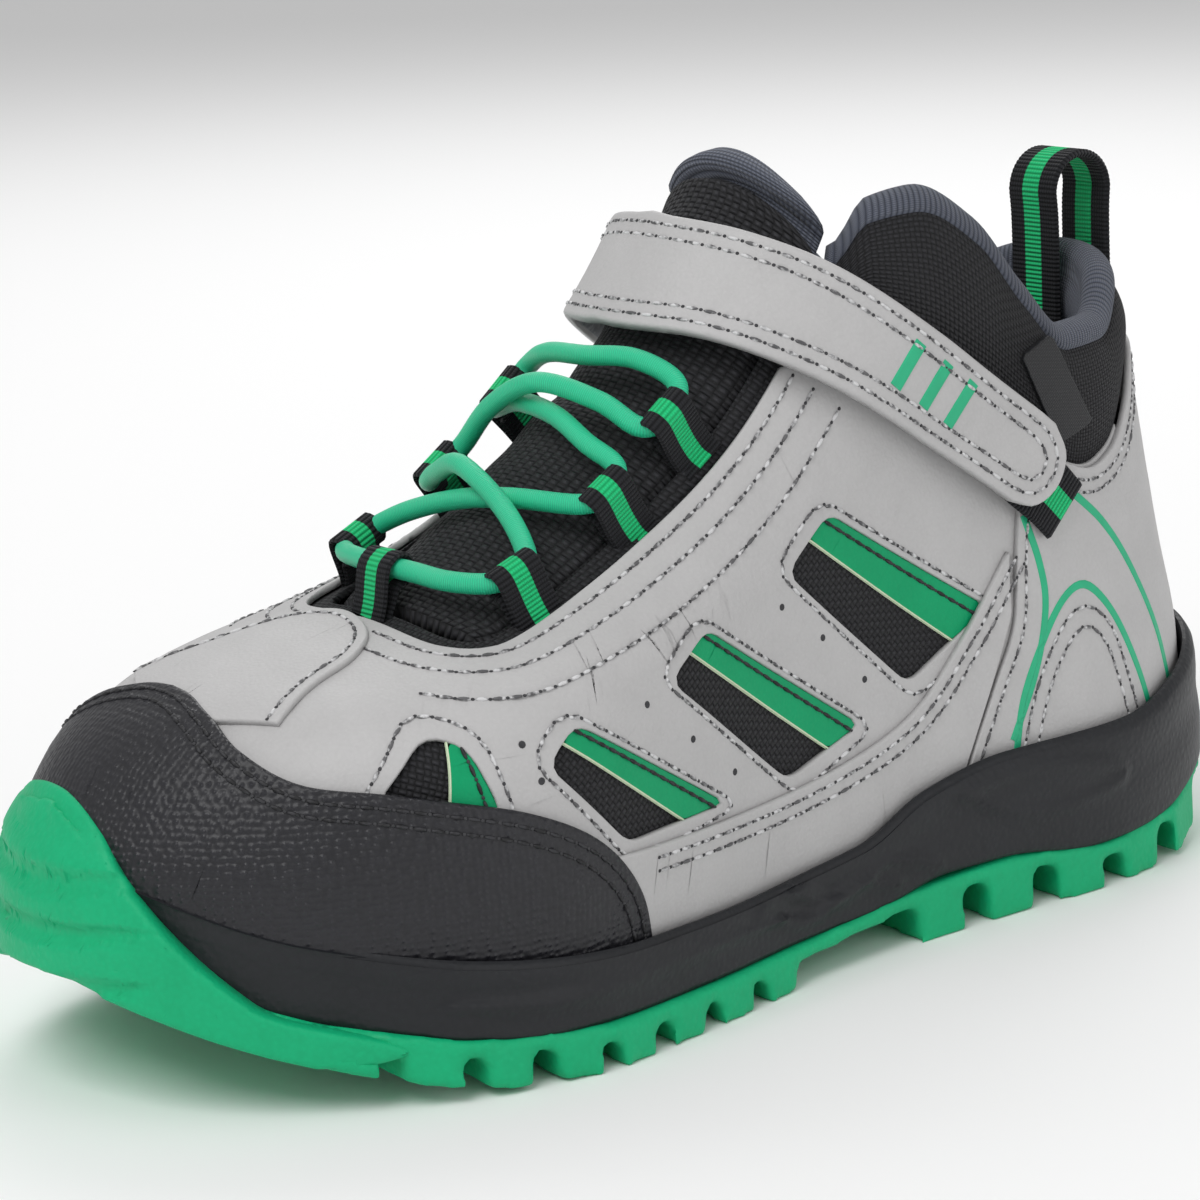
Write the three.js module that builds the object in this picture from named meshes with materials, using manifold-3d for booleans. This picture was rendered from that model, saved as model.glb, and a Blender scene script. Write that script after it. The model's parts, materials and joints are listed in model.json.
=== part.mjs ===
// Kids' mid-cut hiking boot (left foot) with an elastic lace and a hook-and-loop ankle strap.
// Units are millimetres. Toe towards -Y, heel towards +Y, outer side of the foot towards +X, +Z up.
//
// The upper is graded from one base pattern. A smooth implicit form stands for the outer face of
// the quarters, and every layer of the upper is a shell between two offsets of that form.
import * as THREE from "three";
import { ParametricGeometry } from "three/addons/geometries/ParametricGeometry.js";
import { mergeVertices } from "three/addons/utils/BufferGeometryUtils.js";
import Module from "manifold-3d";

const wasm = await Module();
wasm.setup();

// ---------------------------------------------------------------- driving sizes
const BOOT_LENGTH = 240; // toe bumper to heel
const BOOT_HEIGHT = 137; // ground to the tongue's top
const BALL_WIDTH = 90; // across the ball of the foot
const BASE = { length: 240, height: 137, width: 90 }; // the size that the pattern is drawn at

const GAP = 0.4; // clearance between pieces that touch
const OVERLAY = 1.2; // synthetic leather of the quarters
const TEXTILE = 1.0; // woven fabric under the quarters
const STIFFENER = 1.0; // toe puff and heel counter
const LINING = 1.2; // mesh lining
const OUTER = 1.2; // toe cap, foxing and heel panel
const COLLAR_PAD = 4.8; // foam and fabric of the collar
const TONGUE_PAD = 3.0; // foam and fabric of the tongue
const ROLL = 5; // height of the lining rolled over the collar's rim
const THROAT_HALF = 24; // half the lace opening's width
const THROAT_CENTRE = 2; // the lace opening sits a little to the outer side
const GUSSET = 4; // fabric that shows inside the lace opening's edge
const TONGUE_TUCK = 2; // how far the tongue reaches under the gusset
const WELT = 2.4; // how far the midsole's wall stands out from the outer layer
const SOLE_FLARE = 1.2; // how much wider the sole is at its foot
const TREAD_WEB = 3; // rubber between the lugs
const BOARD = 1.6; // insole board
const FOOTBED = 4; // removable insole
const SHANK = { thick: 1.2, width: 18, front: -34, back: 52 };
const STRAP_THICK = 1.8;
const PATCH = 1.0; // hook patch and loop patch
const INSERT_WIDTH = 6.5; // coloured strip in each window
const INSERT_THICK = 0.7;
const LACE_DIAMETER = 3.5;
const LOOP = { wide: 5.5, thick: 1, slack: 0.95, stretch: 2.6, tail: 3 }; // webbing loops that hold the lace
const PULL_LOOP = { wide: 13, thick: 1.6, height: 17, sewn: 14 }; // webbing loop at the heel
const LABEL = 0.5;

// ---------------------------------------------------------------- grading and curves
const grade = {
  x: BALL_WIDTH / BASE.width,
  y: BOOT_LENGTH / BASE.length,
  z: BOOT_HEIGHT / BASE.height,
};
const sideView = (points) => points.map(([y, z]) => [y * grade.y, z * grade.z]);
const planView = (points) => points.map(([x, y]) => [x * grade.x, y * grade.y]);
const frontView = (points) => points.map(([x, z]) => [x * grade.x, z * grade.z]);

// A smooth curve through [t, value] points that never overshoots them, straight beyond its ends.
function profile(points) {
  const step = points.slice(1).map((p, i) => p[0] - points[i][0]);
  const slope = step.map((h, i) => (points[i + 1][1] - points[i][1]) / h);
  const tangent = points.map((_, i) => {
    if (i === 0) return slope[0];
    if (i === points.length - 1) return slope[i - 1];
    if (slope[i - 1] * slope[i] <= 0) return 0;
    const near = 2 * step[i] + step[i - 1];
    const far = step[i] + 2 * step[i - 1];
    return (near + far) / (near / slope[i - 1] + far / slope[i]);
  });
  const last = points.length - 1;
  return (t) => {
    if (t <= points[0][0]) return points[0][1] + tangent[0] * (t - points[0][0]);
    if (t >= points[last][0]) return points[last][1] + tangent[last] * (t - points[last][0]);
    let i = 0;
    while (t > points[i + 1][0]) i += 1;
    const s = (t - points[i][0]) / step[i];
    const rise = s * s * (3 - 2 * s);
    return (
      points[i][1] * (1 - rise) +
      points[i + 1][1] * rise +
      s * (1 - s) * (1 - s) * step[i] * tangent[i] +
      s * s * (s - 1) * step[i] * tangent[i + 1]
    );
  };
}

// The form at the base size. FRONT and BACK give y at a height, the rest give shares and widths.
const FRONT = profile([
  [20, -118], [36, -117.5], [47.5, -112], [56, -103], [61, -92.5], [64, -80], [67, -67],
  [71, -55], [78.5, -40.5], [91.5, -23], [105.5, -7.5], [120, 5], [134, 14], [144, 17.5],
]);
const BACK = profile([
  [4, 112.5], [23, 114], [38, 113.5], [54, 110.5], [74, 107], [89, 104.5], [104, 103.5],
  [119, 104.5], [134, 107],
]);
const HALF_OUTER = profile([[-120, 46], [-58, 46], [-28, 41], [2, 35], [32, 33], [62, 34], [120, 34]]);
const HALF_INNER = profile([
  [-120, 42], [-88, 43], [-58, 42], [-28, 37], [2, 31], [32, 30], [62, 31], [120, 32],
]);
const FORE_SHARE = profile([
  [14, 0.97], [29, 1], [49, 0.98], [64, 0.93], [84, 0.87], [114, 0.86], [150, 0.86],
]);
const REAR_SHARE = profile([[8, 0.97], [23, 1], [43, 0.97], [63, 0.92], [83, 0.9], [103, 0.93], [128, 1]]);
const CENTRE = profile([[-120, -9], [-93, -6], [-58, -1], [-18, 0], [42, 0], [80, 1], [120, 1]]);
const TOE_ROUND = profile([[20, 66], [50, 66], [75, 63], [95, 59], [140, 46]]);
const HEEL_ROUND = profile([[10, 52], [60, 50], [140, 48]]);
const ROUNDNESS = 2.3; // exponent of the toe's and heel's curve in plan
const WAIST = { front: -38, back: 32 }; // where the forefoot's shares give way to the rear's

// Heights along the boot at the base size.
const RIM = profile([
  [-40, 121], [22, 121], [29, 128], [37, 129], [49, 122], [60, 110], [73, 100], [85, 100], [97, 107],
  [112, 112],
]);
const TONGUE_TOP = BASE.height;
const QUARTER_TOP = profile([
  [-30, 122], [12, 113], [26, 103], [48, 88], [60, 82], [68, 77], [75, 75], [82, 77], [90, 84],
  [98, 93], [112, 96],
]);
const WALL_TOP = profile([
  [-120, 44], [-112, 36], [-97, 28], [-81, 24], [-60, 20.5], [-39, 18.5], [-17, 18], [12, 20],
  [29, 26], [48, 29], [77, 29.5], [93, 33], [116, 40],
]);
const CUP_FLOOR = profile([
  [-120, 32], [-112, 26.5], [-97, 20.5], [-81, 17], [-60, 14], [-39, 12.5], [-17, 12.5], [12, 14.5],
  [29, 18.5], [48, 20.5], [77, 21], [93, 22], [116, 24],
]);
const TREAD_TOP = profile([
  [-124, 31], [-114, 23], [-99, 15.5], [-84, 11.5], [-62, 8], [-31, 7], [13, 7.5], [33, 10.5],
  [46, 10.5], [68, 8], [85, 9], [99, 13], [120, 19],
]);
const GROUND_LINE = profile([
  [-124, 25], [-114, 17], [-103, 10.5], [-90, 5.5], [-74, 1.5], [-62, 0], [88, 0], [97, 1.5], [106, 5],
  [120, 13],
]);

const fade = (from, to, t) => THREE.MathUtils.smoothstep(t, from, to);

function roundShare(ratio) {
  if (ratio >= 1) return 1;
  return 1 - Math.pow(1 - ratio, ROUNDNESS);
}

// Square of the form's half width at a place, on one side (+1 outer, -1 inner).
function halfWidthSquared(y, z, side) {
  const foot = side > 0 ? HALF_OUTER(y) : HALF_INNER(y);
  const rear = fade(WAIST.front, WAIST.back, y);
  const half = foot * ((1 - rear) * FORE_SHARE(z) + rear * REAR_SHARE(z));
  const toe = roundShare((y - FRONT(z)) / TOE_ROUND(z));
  const heel = roundShare((BACK(z) - y) / HEEL_ROUND(z));
  return half * half * toe * heel;
}

// Zero on the form, negative inside it; takes graded coordinates.
function formValue(x, y, z) {
  const y0 = y / grade.y;
  const across = x / grade.x - CENTRE(y0);
  return across * across - halfWidthSquared(y0, z / grade.z, Math.sign(across));
}

function formNormal(p) {
  const h = 0.05;
  return new THREE.Vector3(
    formValue(p.x + h, p.y, p.z) - formValue(p.x - h, p.y, p.z),
    formValue(p.x, p.y + h, p.z) - formValue(p.x, p.y - h, p.z),
    formValue(p.x, p.y, p.z + h) - formValue(p.x, p.y, p.z - h),
  ).normalize();
}

// Point of the form at base coordinates y and z on one side, pushed out by offset.
function skin(y, z, side, offset) {
  const half = Math.sqrt(Math.max(halfWidthSquared(y, z, side), 0));
  const p = new THREE.Vector3((CENTRE(y) + side * half) * grade.x, y * grade.y, z * grade.z);
  return p.addScaledVector(formNormal(p), offset);
}

// Point above the instep at base coordinates x and y, pushed out by offset.
function instep(x, y, offset) {
  let low = 30;
  let high = 150;
  while (high - low > 0.001) {
    const mid = (low + high) / 2;
    if (formValue(x * grade.x, y * grade.y, mid * grade.z) < 0) low = mid;
    else high = mid;
  }
  const p = new THREE.Vector3(x * grade.x, y * grade.y, low * grade.z);
  return p.addScaledVector(formNormal(p), offset);
}

// ---------------------------------------------------------------- solids
// A closed three.js geometry as a solid.
function solid(geometry) {
  const bare = geometry.clone();
  bare.deleteAttribute("normal");
  bare.deleteAttribute("uv");
  const merged = mergeVertices(bare, 1e-4);
  const index = Array.from(merged.index.array);
  const triVerts = [];
  for (let i = 0; i < index.length; i += 3) {
    const [a, b, c] = index.slice(i, i + 3);
    if (a !== b && b !== c && c !== a) triVerts.push(a, b, c);
  }
  return new wasm.Manifold(
    new wasm.Mesh({
      numProp: 3,
      vertProperties: merged.attributes.position.array,
      triVerts: new Uint32Array(triVerts),
    }),
  );
}

const HALF_COLUMNS = 14; // grid columns on each side of a loft

// A closed solid through rings of points. Each ring runs from the front along the outer side to
// the back and returns along the inner side; both ends close onto the line between the sides.
function loft(rings) {
  const count = 2 * HALF_COLUMNS;
  const spine = (ring, i) => {
    const a = ring[i % count];
    const b = ring[(count - i) % count];
    return a.clone().add(b).multiplyScalar(0.5);
  };
  const rows = rings.length + 1;
  const place = (u, v, target) => {
    const i = Math.round(u * count);
    const row = Math.round(v * rows);
    if (row === 0) target.copy(spine(rings[0], i));
    else if (row === rows) target.copy(spine(rings[rings.length - 1], i));
    else target.copy(rings[row - 1][i % count]);
  };
  return solid(new ParametricGeometry(place, count, rows));
}

// Calls make(share, side) for each column of a ring; share runs from 0 at the front to 1 at the back.
function ring(make) {
  const points = [];
  for (let i = 0; i < 2 * HALF_COLUMNS; i += 1) {
    const side = i <= HALF_COLUMNS ? 1 : -1;
    const along = side > 0 ? i : 2 * HALF_COLUMNS - i;
    points.push(make((1 - Math.cos((Math.PI * along) / HALF_COLUMNS)) / 2, side));
  }
  return points;
}

// The form as a solid at an offset. reach lengthens both ends, so that one form can cut another.
const LEVELS = [20, 32, 42, 50, 55.5, 60, 64, 68, 73, 80, 90, 100, 110, 120, 130];
const formCache = new Map();
function form(offset, reach = 0) {
  const key = offset.toFixed(3) + "/" + reach;
  if (!formCache.has(key)) {
    const levels = [6 - reach, ...LEVELS, 146 + reach];
    const rings = levels.map((z) =>
      ring((share, side) => skin(FRONT(z) + (BACK(z) - FRONT(z)) * share, z, side, offset)),
    );
    formCache.set(key, loft(rings));
  }
  return formCache.get(key);
}

// Everything between two offsets of the form.
const shell = (inner, outer) => form(outer).subtract(form(inner, 4));

// Outline of the sole in plan, grown by an amount, as ring points at a height given by y.
const SOLE_SECTION = 36; // height of the form's section that the sole follows
function soleRing(grow, heightAt) {
  return ring((share, side) => {
    const z = SOLE_SECTION;
    const p = skin(FRONT(z) + (BACK(z) - FRONT(z)) * share, z, side, 0);
    const n = formNormal(p).setZ(0).normalize();
    p.addScaledVector(n, grow);
    return p.setZ(heightAt(p.y / grade.y) * grade.z);
  });
}

const toShape = (outline) => new THREE.Shape(outline.map(([u, v]) => new THREE.Vector2(u, v)));
const smoothLine = (points, pieces) =>
  new THREE.SplineCurve(points.map(([u, v]) => new THREE.Vector2(u, v)))
    .getPoints(pieces)
    .map((p) => [p.x, p.y]);

const WIDE = 90; // half of a cutting prism's length
const basis = (x, y, z) => new THREE.Matrix4().makeBasis(x, y, z);
const AXIS_X = new THREE.Vector3(1, 0, 0);
const AXIS_Y = new THREE.Vector3(0, 1, 0);
const AXIS_Z = new THREE.Vector3(0, 0, 1);
const BACKWARDS = new THREE.Vector3(0, -1, 0);

// A prism across the boot from x = from to x = to; the outline is given as [y, z].
function sidePrism(outline, from = -WIDE, to = WIDE) {
  const g = new THREE.ExtrudeGeometry(toShape(outline), { depth: to - from, bevelEnabled: false });
  g.applyMatrix4(basis(AXIS_Y, AXIS_Z, AXIS_X)).translate(from, 0, 0);
  return solid(g);
}

// A prism up through the boot; the outline is given as [x, y].
function planPrism(outline, from = -10, to = 170) {
  const g = new THREE.ExtrudeGeometry(toShape(outline), { depth: to - from, bevelEnabled: false });
  return solid(g.translate(0, 0, from));
}

// A prism along the boot from y = from to y = to; the outline is given as [x, z].
function frontPrism(outline, from, to) {
  const g = new THREE.ExtrudeGeometry(toShape(outline), { depth: to - from, bevelEnabled: false });
  return solid(g.applyMatrix4(basis(AXIS_X, AXIS_Z, BACKWARDS)).translate(0, to, 0));
}

// The band between two height profiles, from y = front to y = back, across the whole boot.
function band(low, high, front = -130, back = 126, step = 8) {
  const count = Math.round((back - front) / step);
  const ys = Array.from({ length: count + 1 }, (_, i) => front + ((back - front) * i) / count);
  const bottom = ys.map((y) => [y * grade.y, low(y)]);
  const top = ys.map((y) => [y * grade.y, high(y)]).reverse();
  return sidePrism([...bottom, ...top]);
}
const graded = (curve, shift = 0) => (y) => curve(y) * grade.z + shift;
const flat = (height) => () => height;

const TOP = 200; // above everything
const SPLIT = planView([[-6, -135], [0, 0], [1, 130]]); // line between the two halves of the upper
function half(side, clearance = GAP / 2) {
  const edge = SPLIT.map(([x, y]) => [x + side * clearance, y]);
  const far = [[side * WIDE, 130 * grade.y], [side * WIDE, -135 * grade.y]];
  const outline = [...edge, ...far];
  return planPrism(side > 0 ? outline.reverse() : outline);
}

// ---------------------------------------------------------------- layers of the upper
const at = {};
at.overlay = [-OVERLAY, 0];
at.textile = [at.overlay[0] - GAP - TEXTILE, at.overlay[0] - GAP];
at.stiffener = [at.textile[0] - GAP - STIFFENER, at.textile[0] - GAP];
at.lining = [at.stiffener[0] - GAP - LINING, at.stiffener[0] - GAP];
at.insert = [at.overlay[0], at.overlay[0] + INSERT_THICK];
at.outer = [GAP, GAP + OUTER];
at.collar = [at.textile[1] - COLLAR_PAD, at.textile[1]];
at.collarLining = [at.collar[0] - GAP - LINING, at.collar[0] - GAP];
at.tongue = [at.textile[0] - GAP - TONGUE_PAD, at.textile[0] - GAP];
at.tongueLining = [at.tongue[0] - GAP - LINING, at.tongue[0] - GAP];
at.loopPatch = [at.outer[0], at.outer[0] + PATCH];
at.hookPatch = [at.loopPatch[1] + GAP, at.loopPatch[1] + GAP + PATCH];
at.strap = [at.hookPatch[1] + GAP, at.hookPatch[1] + GAP + STRAP_THICK];
at.label = [at.textile[1] + GAP, at.textile[1] + GAP + LABEL];
const layer = (name) => shell(at[name][0], at[name][1]);

const cupFloor = graded(CUP_FLOOR, GAP);
const rim = graded(RIM);
const quarterTop = graded(QUARTER_TOP);
const padBottom = graded(QUARTER_TOP, -6); // the collar's pad starts under the quarters

// The lace opening's ends along the boot and its cut corners.
const THROAT = { front: -62, back: 46, corner: 9, chamfer: 2.6 };
// The lace opening in plan, narrowed by an amount on both sides and at its front.
function throat(narrow) {
  const half = THROAT_HALF * grade.x - narrow;
  const mid = THROAT_CENTRE * grade.x;
  const front = THROAT.front * grade.y + narrow;
  const back = THROAT.back * grade.y;
  const { corner, chamfer } = THROAT;
  return planPrism([
    [mid - half + corner, front],
    [mid + half - corner, front],
    [mid + half - chamfer, front + chamfer],
    [mid + half, front + corner],
    [mid + half, back],
    [mid - half, back],
    [mid - half, front + corner],
    [mid - half + chamfer, front + chamfer],
  ]);
}

// Windows in the quarters: top front, bottom front, bottom rear, top rear.
const WINDOWS = [
  [[-75, 56], [-84, 47], [-66, 43.5], [-70, 54]],
  [[-51, 55], [-55, 51.5], [-42, 34.5], [-19, 35.5]],
  [[-18, 63], [-26, 59], [-2, 34.5], [17, 40]],
  [[14, 76], [6, 70], [29, 44], [48, 54]],
];
const centreOf = (points) => {
  const sum = points.reduce((s, p) => [s[0] + p[0], s[1] + p[1]], [0, 0]);
  return [sum[0] / points.length, sum[1] / points.length];
};
// The outline moved towards its middle by about an amount.
function shrink(points, amount) {
  const [cy, cz] = centreOf(points);
  return points.map(([y, z]) => {
    const reach = Math.hypot(y - cy, z - cz);
    const keep = (reach - amount * Math.SQRT2) / reach;
    return [cy + (y - cy) * keep, cz + (z - cz) * keep];
  });
}
// The strip along a window's top edge.
function stripOf(window) {
  const [topFront, bottomFront, bottomRear, topRear] = window;
  const towards = (from, to) => {
    const reach = Math.hypot(to[0] - from[0], to[1] - from[1]);
    const share = Math.min(INSERT_WIDTH / reach, 0.8);
    return [from[0] + (to[0] - from[0]) * share, from[1] + (to[1] - from[1]) * share];
  };
  return shrink([topFront, towards(topFront, bottomFront), towards(topRear, bottomRear), topRear], GAP);
}

// Side view outlines of the outer layer.
const CAP_EDGE = [
  [-88, 74], [-93, 61], [-97, 57], [-92, 51], [-80, 48.5], [-62, 43.5], [-49, 36], [-41, 26],
  [-36, 10],
];
const capOutline = (shift) =>
  sideView([...smoothLine(CAP_EDGE.map(([y, z]) => [y + shift, z]), 22), [-135, 10], [-135, 74]]);
const FOXING_EDGE = [[-60, 36], [-47, 33], [-25, 32], [2, 32.5], [27, 38], [42, 50], [53, 62]];
const HEEL_EDGE = [[56, 72], [55, 60], [53.5, 50], [48, 40], [41, 27], [38, 10]];
const HEEL_TOP = [[112, 94], [99, 91], [91, 83], [83, 76], [75, 73.5], [67, 74.5], [59, 77]];
const PATCH_VIEW = [[-9, 50], [11, 50], [13, 66], [9, 82], [1, 87], [-7, 82], [-11, 66]];

const strapLine = {
  outerLow: [[-40, 107], [-8, 107], [6, 102.5], [20, 94.5], [43, 79], [52, 72.5]],
  outerEnd: [[57, 71], [62, 73.5], [64, 79]],
  outerHigh: [[62, 85], [56, 90], [34, 106.5], [20, 117], [8, 123.5], [-40, 123.5]],
  innerLow: [[-40, 107], [-8, 107], [6, 102.5], [20, 94.5], [38, 82]],
  innerHigh: [[48, 95], [34, 106.5], [20, 117], [8, 123.5], [-40, 123.5]],
};
const STRAP_SPLIT = { outer: 36, inner: 24 }; // y of the two fold lines, at the strap's middle
const FOLD_HEIGHT = { outer: 97, inner: 105 };
const FOLD_REACH = 60; // past the strap's edges
const WIDE_ASIDE = 200; // past the strap's ends
const STRAP_SLOPE = [0.58, 0.81]; // direction across the strap in side view

// One side of the strap between two places along it, in side view.
function foldPrism(y, ahead, side) {
  const mid = [y, side > 0 ? FOLD_HEIGHT.outer : FOLD_HEIGHT.inner];
  const [ay, az] = STRAP_SLOPE;
  const reach = FOLD_REACH;
  const low = [mid[0] - ay * reach, mid[1] - az * reach];
  const high = [mid[0] + ay * reach, mid[1] + az * reach];
  const shift = ahead ? -GAP / 2 : GAP / 2;
  const away = ahead ? -WIDE_ASIDE : WIDE_ASIDE;
  const points = sideView([low, high]).map(([u, v]) => [u + shift / az, v]);
  const outline = [...points, [points[1][0] + away, points[1][1]], [points[0][0] + away, points[0][1]]];
  return sidePrism(ahead ? outline : outline.reverse(), side > 0 ? 0 : -WIDE, side > 0 ? WIDE : 0);
}

// ---------------------------------------------------------------- materials and the group
const material = (color, roughness, metalness = 0) =>
  new THREE.MeshStandardMaterial({ color, roughness, metalness });
const FINISH = {
  leather: [0xbbbabb, 0.6],
  fabric: [0x17181b, 0.9],
  mesh: [0x4a4e58, 0.95],
  rubberGreen: [0x1fa85a, 0.6],
  foamBlack: [0x1c1d22, 0.7],
  capBlack: [0x1a1b1f, 0.55],
  trimGreen: [0x00a069, 0.5],
  webbing: [0x1fb35a, 0.85],
  webbingBlack: [0x17181b, 0.85],
  lace: [0x1fb584, 0.7],
  board: [0xcfc9b8, 0.9],
  counter: [0xe4e2dc, 0.5],
  steel: [0x9a9da1, 0.35, 0.9],
  pile: [0x8d8f94, 1],
};

const boot = new THREE.Group();
function addPiece(name, piece, finish) {
  const parts = piece.getMesh();
  const count = parts.vertProperties.length / parts.numProp;
  const position = new Float32Array(count * 3);
  for (let i = 0; i < count; i += 1) {
    position.set(parts.vertProperties.subarray(i * parts.numProp, i * parts.numProp + 3), i * 3);
  }
  const g = new THREE.BufferGeometry();
  g.setAttribute("position", new THREE.BufferAttribute(position, 3));
  g.setIndex(new THREE.BufferAttribute(parts.triVerts, 1));
  g.computeVertexNormals();
  const mesh = new THREE.Mesh(g, material(...FINISH[finish]));
  mesh.name = name;
  boot.add(mesh);
}
const SIDES = [["lateral", 1], ["medial", -1]];
const join = (pieces) => pieces.reduce((all, piece) => all.add(piece));

// ---------------------------------------------------------------- sole
const WALL = at.outer[1] + WELT; // the midsole wall's outer face, out from the form
const sole = (low, high, growLow, growHigh) => loft([soleRing(growLow, low), soleRing(growHigh, high)]);
const base = (curve, shift = 0) => (y) => curve(y) + shift / grade.z;

function buildMidsole() {
  const block = sole(base(TREAD_TOP, GAP), WALL_TOP, WALL + SOLE_FLARE, WALL);
  const cup = form(at.outer[1] + GAP, 4).intersect(band(graded(CUP_FLOOR), flat(TOP)));
  const recess = planPrism([
    [-SHANK.width / 2 - GAP, (SHANK.front - 1) * grade.y],
    [SHANK.width / 2 + GAP, (SHANK.front - 1) * grade.y],
    [SHANK.width / 2 + GAP, (SHANK.back + 1) * grade.y],
    [-SHANK.width / 2 - GAP, (SHANK.back + 1) * grade.y],
  ]).intersect(band(graded(CUP_FLOOR, -SHANK.thick - 2 * GAP), flat(TOP)));
  return block.subtract(cup).subtract(recess).subtract(bumperSpace);
}

const SHANK_CORNER = { across: 3, along: 5 };
function buildShank() {
  const w = SHANK.width / 2;
  const front = SHANK.front * grade.y;
  const back = SHANK.back * grade.y;
  const { across, along } = SHANK_CORNER;
  const outline = [
    [-w + across, front], [w - across, front], [w, front + along], [w, back - along],
    [w - across, back], [-w + across, back], [-w, back - along], [-w, front + along],
  ];
  return planPrism(outline).intersect(
    band(graded(CUP_FLOOR, -SHANK.thick - GAP), graded(CUP_FLOOR, -GAP)),
  );
}

// The bumper covers the midsole's wall round the toe and leans back over the toe cap.
const BUMPER_VIEW = [
  [-44, 8], [-42, 24], [-33, 38], [-23, 45], [-10, 47], [1, 43.5], [9, 37], [16, 28], [24, 18],
  [32, 8],
];
const BUMPER_LEAN = [[0, 0], [24, -0.4], [36, -1.8], [44, -4.2], [52, -9]]; // shift of its face by height
const BUMPER_BACK = -92;
const AHEAD = -140; // ahead of everything
const OUTSTAND = WALL + SOLE_FLARE + 0.6; // the bumper's outer face at its foot
// grow widens its outline, inner and outer are its faces' distances from the form.
function bumper(grow, inner, outer) {
  const middle = centreOf(BUMPER_VIEW);
  const outline = BUMPER_VIEW.map(([x, z]) => {
    const reach = Math.hypot(x - middle[0], z - middle[1]);
    const k = (reach + grow) / reach;
    return [middle[0] + (x - middle[0]) * k, middle[1] + (z - middle[1]) * k];
  });
  const body = loft(BUMPER_LEAN.map(([z, shift]) => soleRing(outer + shift, flat(z))));
  return body
    .subtract(sole(flat(-5), flat(SOLE_SECTION), inner, inner))
    .subtract(form(inner, 4))
    .intersect(frontPrism(frontView(outline), AHEAD * grade.y, BUMPER_BACK * grade.y));
}
const bumperPiece = bumper(0, at.outer[1] + GAP, OUTSTAND).intersect(band(graded(GROUND_LINE), flat(TOP)));
const bumperSpace = bumper(GAP, at.outer[1], OUTSTAND + 8);

const FORE_LUGS = { from: -106, pitch: 12, count: 9, long: 9.5 };
const HEEL_LUGS = { from: 30, pitch: 16.5, count: 5, long: 12 };
const LUG = { width: 17, outstand: 6, lean: 3 }; // how far an edge lug reaches in, and narrows there
const MIDDLE_LUGS = [-98, -80, -62, -44, -26, 38, 56, 74, 92]; // y of the arrow lugs
const ARROW = { half: 9, thick: 3, point: 3.5 };
const LUG_SPAN = [-5, 60]; // heights that take in every lug
// Edge lugs as [side, y, length along the boot]; the forefoot and the heel each stand on them.
function edgeLugs() {
  return [FORE_LUGS, HEEL_LUGS].flatMap(({ from, pitch, count, long }) =>
    Array.from({ length: count }, (_, i) => from + i * pitch).flatMap((y) => [[1, y, long], [-1, y, long]]));
}
function lugPrisms() {
  const blocks = edgeLugs().map(([side, y, long]) => {
    const z = SOLE_SECTION;
    const edge = skin(y, z, side, WALL + LUG.outstand);
    const inner = edge.x - side * (LUG.width + LUG.outstand);
    const outline = [
      [edge.x, (y - long / 2) * grade.y],
      [edge.x, (y + long / 2) * grade.y],
      [inner, (y + long / 2) * grade.y - LUG.lean],
      [inner, (y - long / 2) * grade.y + LUG.lean],
    ];
    return planPrism(side > 0 ? outline : outline.reverse(), ...LUG_SPAN);
  });
  const middles = MIDDLE_LUGS.map((y) => {
    const x = CENTRE(y) * grade.x;
    const { half, thick } = ARROW;
    const point = y < 0 ? -ARROW.point : ARROW.point;
    const outline = [[-half, -thick], [0, point - thick], [half, -thick], [half, thick], [0, point + thick],
      [-half, thick]];
    return planPrism(outline.map(([u, v]) => [x + u, (y + v) * grade.y]), ...LUG_SPAN);
  });
  return [...blocks, ...middles];
}

function buildOutsole() {
  const web = sole(base(TREAD_TOP, -TREAD_WEB), TREAD_TOP, WALL + SOLE_FLARE, WALL + SOLE_FLARE);
  const reachDown = sole(flat(-4), TREAD_TOP, WALL + SOLE_FLARE + 0.8, WALL + SOLE_FLARE)
    .intersect(band(graded(GROUND_LINE), graded(TREAD_TOP, -TREAD_WEB / 2)));
  const lugs = lugPrisms().map((prism) => prism.intersect(reachDown));
  return join([web, ...lugs, bumperPiece]);
}

addPiece("outsole", buildOutsole(), "rubberGreen");
addPiece("midsole", buildMidsole(), "foamBlack");
addPiece("shank", buildShank(), "steel");
const inside = at.lining[0] - GAP;
addPiece("insole_board", form(inside).intersect(
  band(cupFloor, graded(CUP_FLOOR, GAP + BOARD))), "board");
addPiece("insole", form(inside).intersect(
  band(graded(CUP_FLOOR, 2 * GAP + BOARD), graded(CUP_FLOOR, 2 * GAP + BOARD + FOOTBED))), "mesh");

// ---------------------------------------------------------------- inner layers of the upper
const upTo = (high) => band(cupFloor, high);
const padSeam = graded(QUARTER_TOP, -6 - GAP);
addPiece("lining", layer("lining").intersect(upTo(padSeam)).subtract(throat(1)), "mesh");
addPiece("textile_shell", layer("textile").intersect(upTo(padSeam)).subtract(throat(GUSSET)), "fabric");
addPiece("toe_puff", layer("stiffener").intersect(upTo(flat(TOP)))
  .intersect(sidePrism(sideView([[-135, 0], [-72, 0], [-84, 90], [-135, 90]]))), "counter");
addPiece("heel_counter", layer("stiffener").intersect(upTo(flat(TOP)))
  .intersect(sidePrism(sideView([[58, 0], [130, 0], [130, 66], [84, 66], [62, 44]]))), "counter");

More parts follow.
